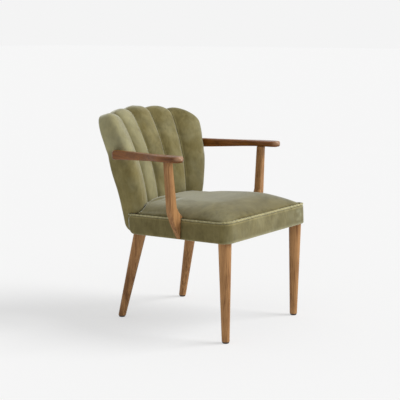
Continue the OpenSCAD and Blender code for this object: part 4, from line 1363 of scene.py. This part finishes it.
class ARMCHAIR_OT_seat_layers(bpy.types.Operator):
    """Adds the webbing, the foam slab and the cloth under the seat"""

    bl_idname = "armchair.seat_layers"
    bl_label = "Webbing, foam and dust cover"

    def execute(self, context):
        back = Back(context)
        seat, s = back.seat, back.seat.s
        v = context.scene.armchair_layers
        frame_in = seat.frame_in
        rail_start = s.depth - v.rear_inset
        jute = woven("jute_webbing", (0.36, 0.27, 0.15), (0.58, 0.47, 0.30), 0.003)
        low = v.rail_height + CLEAR
        pitch = 2 * (seat.half(rail_start) - frame_in - v.side_rail) / v.straps
        along = []
        for i in range(v.straps):
            x = (i - (v.straps - 1) / 2) * pitch
            y0, y1 = frame_in + v.front_rail / 2, rail_start + v.rear_inset / 3
            along.append(self.strap(Vector((x, y0)), Vector((x, y1)), v, low))
        self.layer("webbing_along", along, seat, jute, "jute", "webbing_lengthwise",
                   (v.strap_width * v.straps, y1 - y0), ["front_rail", "rear_rail"])
        over = low + v.strap_thickness + v.strap_gap
        front_end = frame_in + v.front_rail
        across, total = [], 0.0
        for i in range(v.straps):
            y = front_end + (rail_start - front_end) * (i + 0.5) / v.straps
            half = seat.half(y + v.strap_width / 2) - frame_in - v.side_rail / 3
            total += 2 * half / v.straps
            across.append(self.strap(Vector((-half, y)), Vector((half, y)), v, over))
        self.layer("webbing_across", across, seat, jute, "jute", "webbing_crosswise",
                   (total, v.strap_width * v.straps), ["side_rail_left", "side_rail_right"])
        self.slab(back, v)
        self.dust_cover(seat, v)
        return {"FINISHED"}

    @staticmethod
    def strap(a, b, v, low):
        """A flat strap between two points, a little proud along its woven edges."""
        bm = block((30, 8, 1))
        way = (b - a).normalized()
        side = Vector((-way.y, way.x))

        def place(x, y, z):
            flat = a.lerp(b, (x + 1) / 2) + side * (y * v.strap_width / 2)
            selvage = SELVAGE * eased(abs(y), 0.75, 0.95)
            thin = v.strap_thickness - STRAP_PLAY + 2 * selvage
            return Vector((flat.x, flat.y, low + v.strap_thickness / 2 + z * thin / 2))

        return form(bm, place)

    @staticmethod
    def layer(name, parts, seat, material, slot_name, node, flat, rests_on):
        """Straps as one sheet of webbing, stretched over the rails that it rests on."""
        bm = join(parts)
        bmesh.ops.transform(bm, matrix=seat.matrix, verts=bm.verts)
        webbing = piece(name, bm, material, [node], shade=False)

    @staticmethod
    def slab(back, v):
        """The foam slab inside the band, soft along its edges."""
        seat, s = back.seat, back.seat.s
        bm = block((40, 30, 4))
        inset = seat.frame_in

        def place(x, y, z):
            far = cushion_rear(back, x) - v.slab_gap
            depth = mix(inset, far, (y + 1) / 2)
            half = seat.half(depth) - inset - rounding(depth - inset, s.corner - inset)
            edge = min((1 - abs(x)) * half, (depth - inset), far - depth)
            thick = max(v.slab / 2 - rounding(max(edge, 0), SLAB_ROUND), SLAB_LEAST)
            return Vector((x * half, depth, s.band_height + CLEAR - v.slab / 2 + z * thick))

        form(bm, place, seat.matrix)
        slab = piece("foam_slab", bm, foam("seat_foam"), ["seat_foam"])

    @staticmethod
    def dust_cover(seat, v):
        """Thin black cloth under the frame, sagging a little between the rails."""
        s = seat.s
        inset = seat.frame_in + v.cloth_in
        bm = bmesh.new()
        bmesh.ops.create_grid(bm, x_segments=48, y_segments=48, size=1)

        def place(x, y, z):
            depth = mix(inset, s.depth - v.cloth_in, (y + 1) / 2)
            half = seat.half(depth) - inset - rounding(depth - inset, s.corner - inset)
            room = max(0.0, (1 - x * x) * (1 - y * y))
            sag = CLOTH_SAG * room**0.7 - rumple(Vector((x, y, 0)), 0.28, 0.0004)
            return Vector((x * half, depth, -CLOTH_DROP - sag))

        form(bm, place)
        notch = v.leg_width / 2 + v.leg_room
        legs = ((v.front_leg_x, v.front_leg_y, -1), (v.rear_leg_x, v.rear_leg_y, 1))

        def notched(face):
            c = face.calc_center_median()
            gaps = [(abs(c.x) - x, (c.y - y) * way) for x, y, way in legs]
            return any(math.hypot(*gap) < notch + NOTCH_ROUND or min(gap) > -NOTCH_ROUND for gap in gaps)

        bmesh.ops.delete(bm, geom=[face for face in bm.faces if notched(face)], context="FACES")
        area = sum(face.calc_area() for face in bm.faces)
        bmesh.ops.transform(bm, matrix=seat.matrix, verts=bm.verts)
        black = woven("black_cloth", (0.010, 0.010, 0.011), (0.035, 0.035, 0.036), 0.002)
        cloth = piece("dust_cloth", bm, black, ["dust_cover"])
        thick = cloth.modifiers.new("Thickness", "SOLIDIFY")
        thick.thickness, thick.offset = CLOTH_THICKNESS, 0


class ARMCHAIR_OT_stage(bpy.types.Operator):
    """Adds the floor, the backdrop, the lamp and the camera"""

    bl_idname = "armchair.stage"
    bl_label = "Stage"

    FLOOR_SIZE = 60
    LAMP_DISTANCE = 4

    def execute(self, context):
        s = context.scene.armchair_stage
        scene = context.scene
        scene.view_settings.view_transform = "Standard"
        bm = bmesh.new()
        bmesh.ops.create_grid(bm, x_segments=1, y_segments=1, size=self.FLOOR_SIZE)
        mesh = bpy.data.meshes.new("stage")
        bm.to_mesh(mesh)
        bm.free()
        mesh.materials.append(self.paper(s))
        floor = bpy.data.objects.new("stage", mesh)
        scene.collection.objects.link(floor)
        world = bpy.data.worlds.new("studio")
        world.use_nodes = True
        self.sky(world.node_tree, s)
        scene.world = world
        light = bpy.data.lights.new("main_lamp", "SUN")
        light.energy, light.angle = s.sun, s.sun_width
        lamp = bpy.data.objects.new("main_lamp", light)
        scene.collection.objects.link(lamp)
        from_lamp = self.direction(s.sun_turn, s.sun_height)
        lamp.location = from_lamp * self.LAMP_DISTANCE
        lamp.rotation_euler = from_lamp.to_track_quat("Z", "Y").to_euler()
        target = Vector((0.251, 0.168, 0.42))
        camera = bpy.data.cameras.new("camera")
        camera.lens, camera.sensor_width = s.focal, 36
        camera.clip_end = 100
        eye = bpy.data.objects.new("camera", camera)
        scene.collection.objects.link(eye)
        away = self.direction(-s.azimuth, s.elevation)
        eye.location = target + away * s.distance
        eye.rotation_euler = away.to_track_quat("Z", "Y").to_euler()
        scene.camera = eye
        return {"FINISHED"}

    @staticmethod
    def direction(turn, height):
        """Direction at a turn from the chair's front towards its left, and at a height above the floor."""
        flat = math.cos(height)
        return Vector((math.sin(turn) * flat, -math.cos(turn) * flat, math.sin(height)))

    @staticmethod
    def seen(tree):
        """1 for what the camera sees straight on, in a reflection or through glass."""
        ray = tree.nodes.new("ShaderNodeLightPath")
        out = ray.outputs["Is Camera Ray"]
        for name in ("Is Glossy Ray", "Is Transmission Ray"):
            most = tree.nodes.new("ShaderNodeMath")
            most.operation = "MAXIMUM"
            tree.links.new(out, most.inputs[0])
            tree.links.new(ray.outputs[name], most.inputs[1])
            out = most.outputs[0]
        return out

    def paper(self, s):
        """Plain paper that keeps a soft shadow."""
        material, shader, add, link = new_material("stage_paper", 0.9, 0.05)
        grain = clouds(add, place_nodes(add), 2.0, 2.0)
        shade = tuple(c * 0.995 for c in s.floor)
        link(ramp(add, grain, [(0.3, shade), (0.7, tuple(s.floor))]), shader.inputs["Base Color"])
        glow = add("ShaderNodeEmission", {"Color": (s.paper, s.paper, s.paper, 1), "Strength": 1.0})
        tree = material.node_tree
        part = add("ShaderNodeMath", {0: self.seen(tree), 1: s.lift}, operation="MULTIPLY")
        both = add("ShaderNodeMixShader", {0: part.outputs[0], 1: shader.outputs[0], 2: glow.outputs[0]})
        link(both.outputs[0], tree.nodes["Material Output"].inputs["Surface"])
        return material

    def sky(self, tree, s):
        """Even light from all round, behind a plain pale background."""
        light = tree.nodes["Background"]
        light.inputs["Color"].default_value = (1, 1, 1, 1)
        light.inputs["Strength"].default_value = s.ambient
        plain = tree.nodes.new("ShaderNodeBackground")
        plain.inputs["Color"].default_value = (s.paper, s.paper, s.paper, 1)
        both = tree.nodes.new("ShaderNodeMixShader")
        tree.links.new(self.seen(tree), both.inputs[0])
        tree.links.new(light.outputs[0], both.inputs[1])
        tree.links.new(plain.outputs[0], both.inputs[2])
        tree.links.new(both.outputs[0], tree.nodes["World Output"].inputs["Surface"])


OPERATORS = (
    ARMCHAIR_OT_channels,
    ARMCHAIR_OT_cushion,
    ARMCHAIR_OT_band,
    ARMCHAIR_OT_outside_back,
    ARMCHAIR_OT_arms,
    ARMCHAIR_OT_woodwork,
    ARMCHAIR_OT_hidden_parts,
    ARMCHAIR_OT_seat_layers,
    ARMCHAIR_OT_stage,
)


class ARMCHAIR_PT_parts(bpy.types.Panel):
    """Lists what the chair is made of"""

    bl_idname = "ARMCHAIR_PT_parts"
    bl_label = "Armchair"
    bl_space_type = "VIEW_3D"
    bl_region_type = "UI"
    bl_category = "Armchair"

    def draw(self, context):
        for operator in OPERATORS:
            self.layout.operator(operator.bl_idname)
        for name, group in SETTINGS.items():
            box = self.layout.box()
            box.label(text=group.__doc__)
            for key in group.__annotations__:
                box.prop(getattr(context.scene, name), key)


CLASSES = (*SETTINGS.values(), *OPERATORS, ARMCHAIR_PT_parts)


def register():
    """Makes the settings, the operators and the panel known to Blender."""
    for item in CLASSES:
        bpy.utils.register_class(item)
    for name, group in SETTINGS.items():
        setattr(bpy.types.Scene, name, bpy.props.PointerProperty(type=group))


def unregister():
    """Takes them out again."""
    for name in SETTINGS:
        delattr(bpy.types.Scene, name)
    for item in reversed(CLASSES):
        bpy.utils.unregister_class(item)


def main():
    """Builds the chair and its studio."""
    register()
    for operator in OPERATORS:
        group, name = operator.bl_idname.split(".")
        getattr(getattr(bpy.ops, group), name)()


if __name__ == "__main__":
    main()
